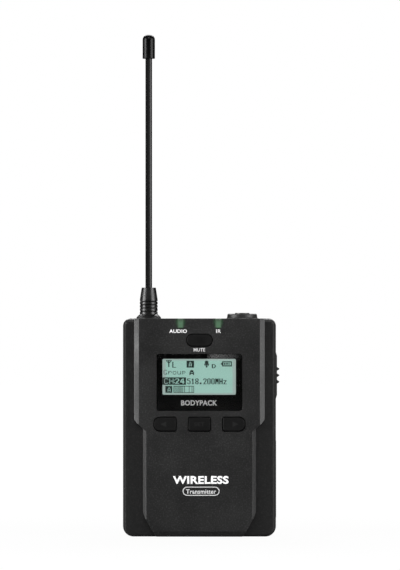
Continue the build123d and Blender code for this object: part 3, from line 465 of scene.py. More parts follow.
link(where.outputs["Object"], cloud.inputs["Vector"])
link(cloud.outputs["Fac"], gather.inputs["Value"])
link(upward.outputs["Result"], both.inputs[0])
link(gather.outputs["Result"], both.inputs[1])
link(both.outputs["Value"], mask.inputs[0])
link(enter.outputs["Amount"], mask.inputs[1])
link(mask.outputs["Value"], shade.inputs["Factor"])
link(mask.outputs["Value"], gloss.inputs["Factor"])
link(enter.outputs["Colour"], shade.inputs["A"])
link(enter.outputs["Roughness"], gloss.inputs["A"])
link(shade.outputs["Result"], leave.inputs["Colour"])
link(gloss.outputs["Result"], leave.inputs["Roughness"])
print("dust:", len(dusty.nodes), "nodes")

# %% [markdown]
# ### Drawn lines
#
# Rolled sheet and drawn wire keep fine lines along the way they were worked. Stretched noise makes them:
# its coordinates are squeezed across the lines and left long along them.

# %% The drawn metal group
drawn, enter, leave = new_group(
    "drawn_metal",
    [
        ("Colour", "Color", WHITE),
        ("Line Colour", "Color", WHITE),
        ("Lines per Metre", "Vector", (4000.0, 4000.0, 100.0)),
        ("Roughness", "Float", 0.3),
        ("Roughness Spread", "Float", 0.15),
    ],
    [("Colour", "Color"), ("Roughness", "Float"), ("Height", "Float")],
)
where = add_node(drawn, "TexCoord")
stretch = add_node(drawn, "VectorMath", {"operation": "MULTIPLY"})
lines = add_node(drawn, "TexNoise", Scale=1.0, Detail=3.0)
shade = add_node(drawn, "Mix", {"data_type": "RGBA"})
swing = add_node(drawn, "MapRange", From_Min=0.3, From_Max=0.7, To_Min=-1.0, To_Max=1.0)
spread = add_node(drawn, "Math", {"operation": "MULTIPLY"})
total = add_node(drawn, "Math", {"operation": "ADD", "use_clamp": True})
link = drawn.links.new
link(where.outputs["Object"], stretch.inputs[0])
link(enter.outputs["Lines per Metre"], stretch.inputs[1])
link(stretch.outputs["Vector"], lines.inputs["Vector"])
link(lines.outputs["Fac"], shade.inputs["Factor"])
link(enter.outputs["Colour"], shade.inputs["A"])
link(enter.outputs["Line Colour"], shade.inputs["B"])
link(lines.outputs["Fac"], swing.inputs["Value"])
link(swing.outputs["Result"], spread.inputs[0])
link(enter.outputs["Roughness Spread"], spread.inputs[1])
link(spread.outputs["Value"], total.inputs[0])
link(enter.outputs["Roughness"], total.inputs[1])
link(shade.outputs["Result"], leave.inputs["Colour"])
link(total.outputs["Value"], leave.inputs["Roughness"])
link(lines.outputs["Fac"], leave.inputs["Height"])
print("groups:", [group.name for group in bpy.data.node_groups])


# %% [markdown]
# ## Materials
#
# A material is one Principled shader with those groups in front of it. A painted or moulded part takes
# grain, then rubbed edges, then dust. A metal part takes drawn lines and rubbed edges. The numbers that
# don't change over a surface, such as metalness or the coat, are set on the shader itself.


# %% Material builders
def shade_of(value, tint=(1.0, 1.0, 1.0)):
    """A colour from one brightness and a tint."""
    return (value * tint[0], value * tint[1], value * tint[2], 1.0)


def new_material(name, **sockets):
    """A material with a Principled shader whose sockets get these plain values."""
    material = bpy.data.materials.new(name)
    material.use_nodes = True
    shader = material.node_tree.nodes["Principled BSDF"]
    for key, value in sockets.items():
        shader.inputs[key.replace("_", " ")].default_value = value
    return material, material.node_tree, shader


def place_group(tree, group, **values):
    """Places a node group in a material and sets its named inputs."""
    node = tree.nodes.new("ShaderNodeGroup")
    node.node_tree = group
    for key, value in values.items():
        node.inputs[key.replace("_", " ")].default_value = value
    return node


def join(tree, source, target, names=("Colour", "Roughness")):
    """Links outputs of one group to the same-named inputs of the next, or to a Principled shader."""
    for name in names:
        wanted = name if name in target.inputs else {"Colour": "Base Color"}.get(name, name)
        tree.links.new(source.outputs[name], target.inputs[wanted])


def raise_bumps(tree, source, shader, depth):
    """Sends a group's Height through a Bump node, depth metres deep, to the shader's normal."""
    bump = add_node(tree, "Bump", Distance=depth, Strength=1.0)
    tree.links.new(source.outputs["Height"], bump.inputs["Height"])
    tree.links.new(bump.outputs["Normal"], shader.inputs["Normal"])


def coated(
    name, colour, fleck, roughness, grains=3000.0, depth=4e-6, edge=None, rub=0.5, dust=0.05, **sockets
):
    """Paint, powder coat, moulded plastic or rubber: grain, rubbed edges and dust."""
    material, tree, shader = new_material(name, **sockets)
    base = place_group(
        tree, grain, Colour=colour, Fleck_Colour=fleck, Grains_per_Metre=grains, Roughness=roughness
    )
    worn = place_group(tree, rubbed, Edge_Colour=edge or fleck, Edge_Roughness=roughness * 0.7, Amount=rub)
    film = place_group(tree, dusty, Amount=dust)
    join(tree, base, worn)
    join(tree, worn, film)
    join(tree, film, shader)
    raise_bumps(tree, base, shader, depth)
    return material


def metallic(name, colour, line, roughness, lines=(4000.0, 4000.0, 100.0), depth=1e-6, edge=None, **sockets):
    """Bare or plated metal: drawn lines and brighter edges."""
    material, tree, shader = new_material(name, Metallic=1.0, **sockets)
    base = place_group(
        tree, drawn, Colour=colour, Line_Colour=line, Lines_per_Metre=lines, Roughness=roughness
    )
    worn = place_group(tree, rubbed, Edge_Colour=edge or line, Edge_Roughness=roughness * 0.6, Amount=0.6)
    join(tree, base, worn)
    join(tree, worn, shader)
    raise_bumps(tree, base, shader, depth)
    return material


# %% [markdown]
# ### Two places on the case
#
# Here the coat's colour is darker on the lower flanks beside the raised panel, which is painted shade, and
# the coat is duller on the outer rims, which is only a change of roughness. That is a choice that suits this
# light, and a real coat may be even all over. Both masks come from the place on the case: how far back it
# lies and how far from the middle.

# %% The case zones group
zones, enter, leave = new_group(
    "case_zones",
    [
        ("Colour", "Color", WHITE),
        ("Roughness", "Float", 0.5),
        ("Low Shade", "Float", 0.5),
        ("Low Roughness", "Float", 0.4),
        ("Rim Roughness", "Float", 0.6),
        ("Step Depth", "Float", 0.0),
        ("Zone Depth", "Float", 0.002),
        ("Rim Distance", "Float", 0.03),
    ],
    [("Colour", "Color"), ("Roughness", "Float")],
)
where = add_node(zones, "TexCoord")
split = add_node(zones, "SeparateXYZ")
behind = add_node(zones, "Math", {"operation": "SUBTRACT"})
start = add_node(zones, "MapRange", From_Min=-0.0001, From_Max=0.0001)
past = add_node(zones, "Math", {"operation": "SUBTRACT"})
stop = add_node(zones, "MapRange", From_Min=-0.0003, From_Max=0.0003, To_Min=1.0, To_Max=0.0)
low = add_node(zones, "Math", {"operation": "MULTIPLY"})
# The flank mask scales the coat's colour down: painted shade on the flanks.
darker = add_node(zones, "Mix", {"data_type": "RGBA"})
dimmed = add_node(zones, "VectorMath", {"operation": "SCALE"})
first = add_node(zones, "Mix", {"data_type": "FLOAT"})
away = add_node(zones, "Math", {"operation": "ABSOLUTE"})
beyond = add_node(zones, "Math", {"operation": "SUBTRACT"})
rim = add_node(zones, "MapRange", From_Min=-0.0002, From_Max=0.0002)
second = add_node(zones, "Mix", {"data_type": "FLOAT"})
link = zones.links.new
link(where.outputs["Object"], split.inputs[0])
link(split.outputs["Y"], behind.inputs[0])
link(enter.outputs["Step Depth"], behind.inputs[1])
link(behind.outputs["Value"], start.inputs["Value"])
link(behind.outputs["Value"], past.inputs[0])
link(enter.outputs["Zone Depth"], past.inputs[1])
link(past.outputs["Value"], stop.inputs["Value"])
link(start.outputs["Result"], low.inputs[0])
link(stop.outputs["Result"], low.inputs[1])
link(enter.outputs["Colour"], dimmed.inputs[0])
link(enter.outputs["Low Shade"], dimmed.inputs["Scale"])
link(low.outputs["Value"], darker.inputs["Factor"])
link(enter.outputs["Colour"], darker.inputs["A"])
link(dimmed.outputs["Vector"], darker.inputs["B"])
link(low.outputs["Value"], first.inputs["Factor"])
link(enter.outputs["Roughness"], first.inputs["A"])
link(enter.outputs["Low Roughness"], first.inputs["B"])
link(split.outputs["X"], away.inputs[0])
link(away.outputs["Value"], beyond.inputs[0])
link(enter.outputs["Rim Distance"], beyond.inputs[1])
link(beyond.outputs["Value"], rim.inputs["Value"])
link(rim.outputs["Result"], second.inputs["Factor"])
link(first.outputs["Result"], second.inputs["A"])
link(enter.outputs["Rim Roughness"], second.inputs["B"])
link(darker.outputs["Result"], leave.inputs["Colour"])
link(second.outputs["Result"], leave.inputs["Roughness"])
print("case zones:", len(zones.nodes), "nodes")

# %% [markdown]
# ### Green light that leaks past the pipes
#
# The two light pipes are let into the panel's top edge, and a little of their green light spills on to the
# coat beside them. The spill is brightest at the pipe and fades over a couple of millimetres. The pipes stand
# at equal distances either side of the middle, so the place's X is made positive and one centre serves both.

# %% The spill group
spill, enter, leave = new_group(
    "light_spill",
    [
        ("Colour", "Color", WHITE),
        ("Centre", "Vector", (0.0, 0.0, 0.0)),
        ("Half Size", "Vector", (1.0, 1.0, 1.0)),
    ],
    [("Colour", "Color")],
)
where = add_node(spill, "TexCoord")
split = add_node(spill, "SeparateXYZ")
fold = add_node(spill, "Math", {"operation": "ABSOLUTE"})
again = add_node(spill, "CombineXYZ")
shift = add_node(spill, "VectorMath", {"operation": "SUBTRACT"})
scaled = add_node(spill, "VectorMath", {"operation": "DIVIDE"})
reach = add_node(spill, "VectorMath", {"operation": "LENGTH"})
fade = add_node(spill, "MapRange", {"interpolation_type": "SMOOTHSTEP"}, From_Min=0.3, To_Min=1.0, To_Max=0.0)
tinted = add_node(spill, "VectorMath", {"operation": "SCALE"})
link = spill.links.new
link(where.outputs["Object"], split.inputs[0])
link(split.outputs["X"], fold.inputs[0])
link(fold.outputs["Value"], again.inputs["X"])
link(split.outputs["Y"], again.inputs["Y"])
link(split.outputs["Z"], again.inputs["Z"])
link(again.outputs["Vector"], shift.inputs[0])
link(enter.outputs["Centre"], shift.inputs[1])
link(shift.outputs["Vector"], scaled.inputs[0])
link(enter.outputs["Half Size"], scaled.inputs[1])
link(scaled.outputs["Vector"], reach.inputs[0])
link(reach.outputs["Value"], fade.inputs["Value"])
link(enter.outputs["Colour"], tinted.inputs[0])
link(fade.outputs["Result"], tinted.inputs["Scale"])
link(tinted.outputs["Vector"], leave.inputs["Colour"])
print("light spill:", len(spill.nodes), "nodes")

# %% [markdown]
# ### The case's coat
#
# The case is matte black powder coat. Its material takes the grain, then the two places on the case, where
# the flanks get painted shade, then rubbed edges and dust. The green spill is added as a faint glow.

# %% Case coat
PANEL_STEP = 1.2 * MM
RIM_WIDTH = 1.0 * MM
SPILL_RISE = 0.4 * MM
SPILL_REACH = (2.6 * MM, 3.0 * MM, 3.2 * MM)
finish = {}
case_half_width = spot("housing")[1][0]
pipe_middle = spot("ir_light_pipe")[0]
case_coat, tree, shader = new_material("case_powder_coat", Emission_Strength=1.0)
base = place_group(
    tree, grain, Colour=shade_of(0.006), Fleck_Colour=shade_of(0.030), Grains_per_Metre=1700.0, Roughness=0.45
)
# The low shade halves the coat's colour on the flanks: painted shade, not a darker coat.
zoned = place_group(
    tree, zones, Low_Shade=0.5, Low_Roughness=0.40, Rim_Roughness=0.85, Step_Depth=panel_y + PANEL_STEP,
    Rim_Distance=case_half_width - RIM_WIDTH,
)
worn = place_group(tree, rubbed, Edge_Colour=shade_of(0.03), Edge_Roughness=0.34, Amount=0.15)
film = place_group(tree, dusty, Amount=0.02)
join(tree, base, zoned)
join(tree, zoned, worn)
join(tree, worn, film)
join(tree, film, shader)
raise_bumps(tree, base, shader, 4e-6)
leak = place_group(
    tree, spill, Colour=(0.004, 0.055, 0.012, 1.0),
    Centre=(pipe_middle[0], panel_y, pipe_middle[2] + SPILL_RISE), Half_Size=SPILL_REACH,
)
tree.links.new(leak.outputs["Colour"], shader.inputs["Emission Color"])
finish["housing_black"] = case_coat
print("case coat of", len(tree.nodes), "nodes")

# %% [markdown]
# ### The other black finishes
#
# The keys are darker than the case and softer to the touch, the door and the side switch are etched plastic,
# and the clip is thin satin coat over spring steel that shows at its edges.

# %% Keys, switch, door and clip
finish["key_black"] = coated(
    "key_soft_touch", shade_of(0.002), shade_of(0.004), 0.55, grains=5200.0, depth=2e-6, rub=0.10, dust=0.01,
    Specular_IOR_Level=0.2,
)
finish["door_black"] = coated(
    "door_etched_plastic", shade_of(0.018), shade_of(0.028), 0.5, grains=4200.0, depth=5e-6,
    edge=shade_of(0.06),
)
finish["clip_black"] = coated(
    "clip_satin_coat", shade_of(0.016), shade_of(0.021), 0.34, depth=1.5e-6, edge=shade_of(0.22), rub=0.8
)
finish["washer_black"] = coated("washer_rubber", shade_of(0.012), shade_of(0.018), 0.6)
finish["gasket_black"] = coated(
    "gasket_foam", shade_of(0.012), shade_of(0.03), 0.9, grains=2500.0, depth=2e-5
)
finish["tray_black"] = coated("tray_plastic", shade_of(0.02), shade_of(0.03), 0.55, grains=4200.0)
finish["chip_black"] = coated("chip_epoxy", shade_of(0.02), shade_of(0.035), 0.7)
finish["usb_black"] = coated("socket_tongue_plastic", shade_of(0.012), shade_of(0.018), 0.45)
print(len(finish), "black finishes")

# %% [markdown]
# ### The whip's two sides
#
# A round whip shows one bright line for each light beside it. Here only its right side is polished, and its
# left side is dull enough to spread that line out. That too is a choice that suits this light. The group
# mixes two roughnesses by which side of the whip's own middle a point lies.

# %% The polished side group
polish, enter, leave = new_group(
    "polished_side",
    [("Roughness", "Float", 0.5), ("Dull Roughness", "Float", 0.8), ("Middle", "Float", 0.0)],
    [("Roughness", "Float")],
)
where = add_node(polish, "TexCoord")
split = add_node(polish, "SeparateXYZ")
beside = add_node(polish, "Math", {"operation": "SUBTRACT"})
right = add_node(polish, "MapRange", From_Min=-0.0004, From_Max=0.0004)
either = add_node(polish, "Mix", {"data_type": "FLOAT"})
link = polish.links.new
link(where.outputs["Object"], split.inputs[0])
link(split.outputs["X"], beside.inputs[0])
link(enter.outputs["Middle"], beside.inputs[1])
link(beside.outputs["Value"], right.inputs["Value"])
link(right.outputs["Result"], either.inputs["Factor"])
link(enter.outputs["Dull Roughness"], either.inputs["A"])
link(enter.outputs["Roughness"], either.inputs["B"])
link(either.outputs["Result"], leave.inputs["Roughness"])
print("polished side:", len(polish.nodes), "nodes")

# %% The whip's coat
whip_coat, tree, shader = new_material("whip_polished_rubber", Specular_IOR_Level=0.28)
base = place_group(
    tree, grain, Colour=shade_of(0.001), Fleck_Colour=shade_of(0.002), Grains_per_Metre=3600.0,
    Roughness=0.26, Roughness_Spread=0.03,
)
sided = place_group(tree, polish, Dull_Roughness=1.0, Middle=float(spot("antenna_rod")[0][0]))
tree.links.new(base.outputs["Roughness"], sided.inputs["Roughness"])
tree.links.new(base.outputs["Colour"], shader.inputs["Base Color"])
tree.links.new(sided.outputs["Roughness"], shader.inputs["Roughness"])
raise_bumps(tree, base, shader, 3e-7)
finish["antenna_rod"] = whip_coat
print("whip's middle at x", round(float(spot("antenna_rod")[0][0]), 5))

# %% [markdown]
# ### Antenna and microphone socket
#
# The rest of the antenna is rubber with a dull sheen, and its foot is smoother plastic. The microphone
# socket's collar is turned metal with a satin black coat, and its barrel is dark nickel.

# %% Antenna and socket finishes
finish["antenna_rubber"] = coated(
    "antenna_moulded_rubber", shade_of(0.004), shade_of(0.006), 0.30, grains=3600.0, depth=4e-7, rub=0.15
)
finish["antenna_tip"] = coated(
    "tip_dull_rubber", shade_of(0.001), shade_of(0.002), 0.28, grains=3600.0, depth=3e-7, rub=0.05, dust=0.01,
    Specular_IOR_Level=0.17,
)
finish["antenna_gloss"] = coated(
    "antenna_foot_plastic", shade_of(0.005), shade_of(0.008), 0.38, depth=3e-7, edge=shade_of(0.02), rub=0.2,
    Specular_IOR_Level=0.35,
)
finish["jack_black"] = coated(
    "collar_satin_anodised", shade_of(0.012), shade_of(0.020), 0.40, depth=1.5e-6, edge=shade_of(0.18),
)
finish["jack_barrel"] = metallic(
    "barrel_black_nickel", shade_of(0.07, (1.0, 0.98, 0.95)), shade_of(0.09, (1.0, 0.98, 0.95)), 0.40
)
finish["brass"] = metallic("plain_brass", (0.66, 0.47, 0.20, 1.0), (0.74, 0.56, 0.27, 1.0), 0.26)
finish["nickel"] = metallic("plated_nickel", shade_of(0.60, (1.0, 0.98, 0.94)), shade_of(0.68), 0.22)
finish["pin_steel"] = metallic(
    "spring_steel", shade_of(0.42), shade_of(0.52), 0.28, lines=(200.0, 4000.0, 4000.0)
)
finish["shield_tin"] = metallic("tinned_sheet", shade_of(0.58), shade_of(0.66), 0.30)
finish["screw_zinc"] = metallic("zinc_screws", shade_of(0.55, (0.98, 1.0, 1.0)), shade_of(0.66), 0.30)
finish["screw_black"] = metallic(
    "black_oxide_screws", shade_of(0.045), shade_of(0.07), 0.42, edge=shade_of(0.3)
)
print(len(finish), "finishes with the metals")

# %% [markdown]
# ### Inside the case
#
# The board, the cable and the display's frame are only seen when the pack is open, but each still gets
# its own grain and shade.

# %% Inner finishes
finish["board_green"] = coated(
    "board_solder_mask", (0.012, 0.085, 0.035, 1.0), (0.03, 0.14, 0.06, 1.0), 0.32, grains=900.0, rub=0.0
)
finish["frame_white"] = coated("display_frame_plastic", shade_of(0.62), shade_of(0.7), 0.5, rub=0.0)
finish["flex_amber"] = coated(
    "flex_cable_film", (0.42, 0.17, 0.03, 1.0), (0.5, 0.24, 0.06, 1.0), 0.3, grains=1500.0, rub=0.0
)
finish["plunger_red"] = coated("plunger_plastic", (0.28, 0.02, 0.015, 1.0), (0.34, 0.04, 0.03, 1.0), 0.45)
finish["backlight_green"] = coated(
    "backlight_film", (0.40, 0.62, 0.50, 1.0), (0.46, 0.68, 0.56, 1.0), 0.4, rub=0.0
)
finish["led"] = coated("led_lens", (0.6, 0.72, 0.5, 1.0), (0.7, 0.8, 0.6, 1.0), 0.2, rub=0.0)
finish["mask_black"] = coated(
    "window_print", shade_of(0.0008), shade_of(0.0012), 0.5, depth=2e-7, rub=0.0, dust=0.0,
    Specular_IOR_Level=0.1,
)
print(len(finish), "finishes with the inner parts")

# %% [markdown]
# ### The window
#
# The window is clear acrylic over a black printed border. Only its gloss varies: a faint veil of
# fingerprints makes it a touch rougher in patches.


# %% Clear plastic
def clear(name, tint, roughness, smear):
    """Clear plastic whose roughness rises in cloudy patches by smear."""
    material, tree, shader = new_material(name, Transmission_Weight=1.0, IOR=1.49)
    shader.inputs["Base Color"].default_value = tint
    veil = place_group(
        tree, grain, Grains_per_Metre=400.0, Patches_per_Metre=90.0, Roughness=roughness,
        Roughness_Spread=smear,
    )
    tree.links.new(veil.outputs["Roughness"], shader.inputs["Roughness"])
    return material


finish["lens"] = clear("window_acrylic", (0.97, 0.98, 0.98, 1.0), 0.014, 0.008)
print(len(finish), "finishes so far")

# %% [markdown]
# ### The display sheet
#
# The display is a liquid crystal between polarisers, lit from behind through a mint green film. Seen from
# the front it is one softly glowing sheet: greenest in the middle, greyer along its edges where the light
# guide ends. The glow is an emission colour that depends on how near a point is to the edge.

# %% The glow group and the display sheet
glow_sheet, enter, leave = new_group(
    "display_glow",
    [
        ("Middle Colour", "Color", WHITE),
        ("Edge Colour", "Color", WHITE),
        ("Centre", "Vector", (0.0, 0.0, 0.0)),
        ("Half Size", "Vector", (0.01, 1.0, 0.01)),
        ("Fade From", "Float", 0.8),
        ("Fade To", "Float", 1.0),
    ],
    [("Colour", "Color")],
)
where = add_node(glow_sheet, "TexCoord")
shift = add_node(glow_sheet, "VectorMath", {"operation": "SUBTRACT"})
scaled = add_node(glow_sheet, "VectorMath", {"operation": "DIVIDE"})
size = add_node(glow_sheet, "VectorMath", {"operation": "ABSOLUTE"})
split = add_node(glow_sheet, "SeparateXYZ")
most = add_node(glow_sheet, "Math", {"operation": "MAXIMUM"})
near = add_node(glow_sheet, "MapRange", {"interpolation_type": "SMOOTHSTEP"})
cloud = add_node(glow_sheet, "TexNoise", Scale=260.0, Detail=2.0)
mottle = add_node(glow_sheet, "MapRange", From_Min=0.3, From_Max=0.7, To_Min=-0.10, To_Max=0.10)
mask = add_node(glow_sheet, "Math", {"operation": "ADD", "use_clamp": True})
shade = add_node(glow_sheet, "Mix", {"data_type": "RGBA"})
link = glow_sheet.links.new
link(where.outputs["Object"], shift.inputs[0])
link(enter.outputs["Centre"], shift.inputs[1])
link(shift.outputs["Vector"], scaled.inputs[0])
link(enter.outputs["Half Size"], scaled.inputs[1])
link(scaled.outputs["Vector"], size.inputs[0])
link(size.outputs["Vector"], split.inputs[0])
link(split.outputs["X"], most.inputs[0])
link(split.outputs["Z"], most.inputs[1])
link(most.outputs["Value"], near.inputs["Value"])
link(enter.outputs["Fade From"], near.inputs["From Min"])
link(enter.outputs["Fade To"], near.inputs["From Max"])
link(where.outputs["Object"], cloud.inputs["Vector"])
link(cloud.outputs["Fac"], mottle.inputs["Value"])
link(near.outputs["Result"], mask.inputs[0])
link(mottle.outputs["Result"], mask.inputs[1])
link(mask.outputs["Value"], shade.inputs["Factor"])
link(enter.outputs["Middle Colour"], shade.inputs["A"])
link(enter.outputs["Edge Colour"], shade.inputs["B"])
link(shade.outputs["Result"], leave.inputs["Colour"])

VIEW_MIDDLE = (-0.1 * MM, 66.9 * MM)
VIEW_HALF = (15.35 * MM, 7.5 * MM)


def glowing(name, middle, edge, centre, half, fade, strength, **sockets):
    """A part lit from behind: its own colour is dark and its glow comes from the glow group."""
    material, tree, shader = new_material(name, **sockets)
    light = place_group(
        tree, glow_sheet, Middle_Colour=middle, Edge_Colour=edge, Centre=centre, Half_Size=half,
        Fade_From=fade[0], Fade_To=fade[1],
    )
    base = place_group(
        tree, grain, Colour=shade_of(0.05), Fleck_Colour=shade_of(0.07), Roughness=0.35, Roughness_Spread=0.05
    )
    join(tree, base, shader)
    tree.links.new(light.outputs["Colour"], shader.inputs["Emission Color"])
    shader.inputs["Emission Strength"].default_value = strength
    return material


finish["lcd_glass"] = glowing(
    "display_sheet", (0.307, 0.535, 0.459, 1.0), (0.33, 0.42, 0.39, 1.0),
    (VIEW_MIDDLE[0], 0.0, VIEW_MIDDLE[1]), (VIEW_HALF[0], 1.0, VIEW_HALF[1]), (0.88, 0.94), 1.0,
)
for side in ("audio", "ir"):
    middle, half = spot(side + "_light_pipe")
    finish[side + "_light_pipe"] = glowing(
        side + "_pipe_plastic", (0.028, 0.120, 0.045, 1.0), (0.006, 0.045, 0.010, 1.0),
        (middle[0], middle[1], middle[2] - 0.45 * half[2]), (1.1 * half[0], 1.0, 1.3 * half[2]),
        (0.3, 1.0), 1.0,
    )
print("glowing parts:", [m.name for m in (finish["lcd_glass"], finish["audio_light_pipe"])])

# %% [markdown]
# ### Dressing the measured parts
#
# The record gives each measured part a slot, and each slot has a finish above. A part's mesh stays as it
# came, and only its material slot is filled.

# %% Give each part its finish
for part in frame["record"]["subparts"]:
    mesh = nodes[part["node"]].data
    wanted = finish.get(part["node"], finish.get(part["material_slot"]))
    if wanted is not None:
        mesh.materials.clear()
        mesh.materials.append(wanted)

# %% [markdown]
# ## Print
#
# Words on the case are screen printed in white and grey ink, and both inks also get a faint painted glow. A
# text object gives the letters as a mesh, which is then fitted to a measured width and height and stood up
# against the panel, thin as ink. The words here are plain ones that say what a part is for.


# %% Letters as a thin standing mesh
def text_points(words, weight, bend=3):
    """The mesh of a line of text lying flat, its letters thickened by weight."""
    curve = bpy.data.curves.new("letters", "FONT")
    curve.body = words
    curve.offset = weight
    curve.resolution_u = bend
    curve.extrude = 0.5
    curve.space_character = 1.04
    item = bpy.data.objects.new("letters", curve)
    scene.collection.objects.link(item)
    mesh = bpy.data.meshes.new_from_object(item.evaluated_get(bpy.context.evaluated_depsgraph_get()))
    bpy.data.objects.remove(item)
    bpy.data.curves.remove(curve)
    return mesh


def stand_up(mesh, middle, size, face_y, thick):
    """Fits a flat mesh to size and stands it in front of face_y: its x stays across, its y goes up, and
    its own depth becomes thick, towards the viewer. It is a quarter turn, so the faces stay outwards."""
    points = np.empty(len(mesh.vertices) * 3)
    mesh.vertices.foreach_get("co", points)
    points = points.reshape(-1, 3)
    low, high = points.min(axis=0), points.max(axis=0)
    share = (points - low) / (high - low)
    placed = np.stack(
        [
            middle[0] + (share[:, 0] - 0.5) * size[0],
            face_y - share[:, 2] * thick,
            middle[1] + (share[:, 1] - 0.5) * size[1],
        ],
        axis=1,
    )
    mesh.vertices.foreach_set("co", placed.ravel())
    mesh.update()
    return tidy(mesh, smooth=False)


def add_piece(name, mesh, material, body):
    """Puts a finished mesh in the scene with its material, riding on a moving group."""
    mesh.materials.clear()
    mesh.materials.append(material)
    piece = bpy.data.objects.new(name, mesh)
    scene.collection.objects.link(piece)
    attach(piece, body)
    return piece


def ink(name, colour, worn, emission=0.0):
    """Screen print: a slightly uneven layer of matte ink, thinner in flecks, with emission as a painted glow.
    """
    material, tree, shader = new_material(name)
    layer = place_group(
        tree, grain, Colour=colour, Fleck_Colour=worn, Grains_per_Metre=5000.0, Roughness=0.55
    )
    join(tree, layer, shader)
    raise_bumps(tree, layer, shader, 1e-6)
    if emission:
        tree.links.new(layer.outputs["Colour"], shader.inputs["Emission Color"])
        shader.inputs["Emission Strength"].default_value = emission
    return material


# Both inks glow a little by their emission strength: a painted glow that brightens the print.
white_ink_and_glow = ink("white_print_and_glow", shade_of(0.86), shade_of(0.55), 0.35)
grey_ink_and_glow = ink("grey_print_and_glow", shade_of(0.60), shade_of(0.40), 0.25)
key_ink = coated(
    "key_print", shade_of(0.012), shade_of(0.009), 0.6, depth=1e-6, rub=0.0, dust=0.0, Specular_IOR_Level=0.2
)
INK = 0.012 * MM
INK_SUNK = 0.2 * INK


def label(name, words, middle, size, face_y, material, body, weight=0.0):
    """One printed line: words fitted to size (across, up) about middle (x, z), in millimetres."""
    mesh = stand_up(
        text_points(words, weight), np.array(middle) * MM, np.array(size) * MM, face_y + INK_SUNK, INK
    )
    return add_piece(name, mesh, material, body)


# %% Words on the panel
BEHIND_LENS = 0.035 * MM
label("audio_label", "AUDIO", (-8.9, 86.0), (7.4, 1.5), panel_y, white_ink_and_glow, "pack", 0.015)
label("ir_label", "IR", (8.0, 86.0), (2.0, 1.5), panel_y, white_ink_and_glow, "pack", 0.0)
label("mute_label", "MUTE", (0.0, 78.2), (4.85, 1.45), panel_y, grey_ink_and_glow, "pack", 0.015)
label("case_label", "WIRELESS", (0.56, 23.8), (23.3, 3.35), panel_y, white_ink_and_glow, "pack", 0.035)
label("pill_label", "Transmitter", (0.7, 18.95), (12.6, 1.9), panel_y, grey_ink_and_glow, "pack", 0.02)
label(
    "window_label", "BODYPACK", (-0.1, 56.0), (15.1, 2.25), lens_back_y + BEHIND_LENS, grey_ink_and_glow, "pack", 0.03
)

# %% [markdown]
# ### The pill round the small word
#
# The small word sits in a rounded outline. The outline is a profile, a flat rectangle, carried round a
# stadium path: two half circles joined by straight runs.


# %% The pill outline
def pill_points(middle, width, height, line, face_y, thick):
    """A grid whose rows go round the pill and whose columns go round the line's rectangle. A row's point
    is the circle's point at its angle, moved right or left by half the straight length."""
    quarter = np.linspace(-np.pi / 2, np.pi / 2, 25)
    turn = np.concatenate([quarter, quarter + np.pi])
    side = np.repeat([1.0, -1.0], len(quarter)) * (width - height) / 2
    reach = np.array([height / 2 - line, height / 2, height / 2, height / 2 - line])
    depth = np.array([face_y, face_y, face_y - thick, face_y - thick])
    across = side[:, None] + reach * np.cos(turn)[:, None]
    up = reach * np.sin(turn)[:, None]
    return np.stack([middle[0] + across, depth + 0 * across, middle[1] + up], axis=-1)


pill = grid_mesh(
    "pill_outline",
    pill_points(
        middle=(0.7 * MM, 19.1 * MM), width=15.4 * MM, height=3.76 * MM, line=0.34 * MM,
        face_y=panel_y + INK_SUNK, thick=INK,
    ),
    wrap_rows=True, wrap_columns=True,
)
tidy(pill, smooth=False)
add_piece("pill_outline", pill, grey_ink_and_glow, "pack")
print("pill outline of", len(pill.polygons), "faces")

# %% [markdown]
# ## The display's picture
#
# The display draws with a grid of small square dots, 128 across and 62 up. Rather than paint the picture
# into a texture, each dark dot becomes one small square in front of the sheet, so it stays sharp at any
# distance. The picture is an array of zeros and ones. Letters come from a small dot font, five columns to
# a letter, in which each number's seven low bits are one column from top to bottom.

# %% A dot font and an empty picture
DOT_FONT = {
    "A": (0x78, 0x16, 0x11, 0x16, 0x78), "C": (0x3E, 0x41, 0x41, 0x41, 0x22),
    "D": (0x7F, 0x41, 0x41, 0x22, 0x1C), "G": (0x3E, 0x41, 0x41, 0x51, 0x72),
    "H": (0x7F, 0x08, 0x08, 0x08, 0x7F), "L": (0x7F, 0x40, 0x40, 0x40, 0x40),
    "M": (0x7F, 0x02, 0x0C, 0x02, 0x7F), "o": (0x38, 0x44, 0x44, 0x44, 0x38),
    "p": (0x7C, 0x14, 0x14, 0x14, 0x08), "r": (0x7C, 0x08, 0x04, 0x04, 0x08),
    "u": (0x3C, 0x40, 0x40, 0x20, 0x7C), "z": (0x44, 0x64, 0x54, 0x4C, 0x44),
    "0": (0x3E, 0x41, 0x41, 0x41, 0x3E), "1": (0x00, 0x42, 0x7F, 0x40, 0x00),
    "2": (0x42, 0x61, 0x51, 0x49, 0x46), "3": (0x21, 0x41, 0x45, 0x4B, 0x31),
    "4": (0x18, 0x14, 0x12, 0x7F, 0x10), "5": (0x27, 0x45, 0x45, 0x45, 0x39),
    "6": (0x3C, 0x4A, 0x49, 0x49, 0x30), "8": (0x36, 0x49, 0x49, 0x49, 0x36),
    ".": (0x00, 0x60, 0x60, 0x00, 0x00),
}
ROWS, COLUMNS = 62, 128
picture = np.zeros((ROWS, COLUMNS), dtype=bool)


def dots_of(letter, width, height):
    """A letter as a width by height array: the font's seven rows and five columns, spread evenly so that
    the first, middle and last stay one dot thick."""
    bits = np.array(DOT_FONT[letter], dtype=np.uint8)
    small = (bits[None, :] >> np.arange(7)[:, None]) & 1
    rows = np.round(np.linspace(0, 6, height)).astype(int)
    columns = np.round(np.linspace(0, 4, width)).astype(int)
    return small[rows][:, columns].astype(bool)


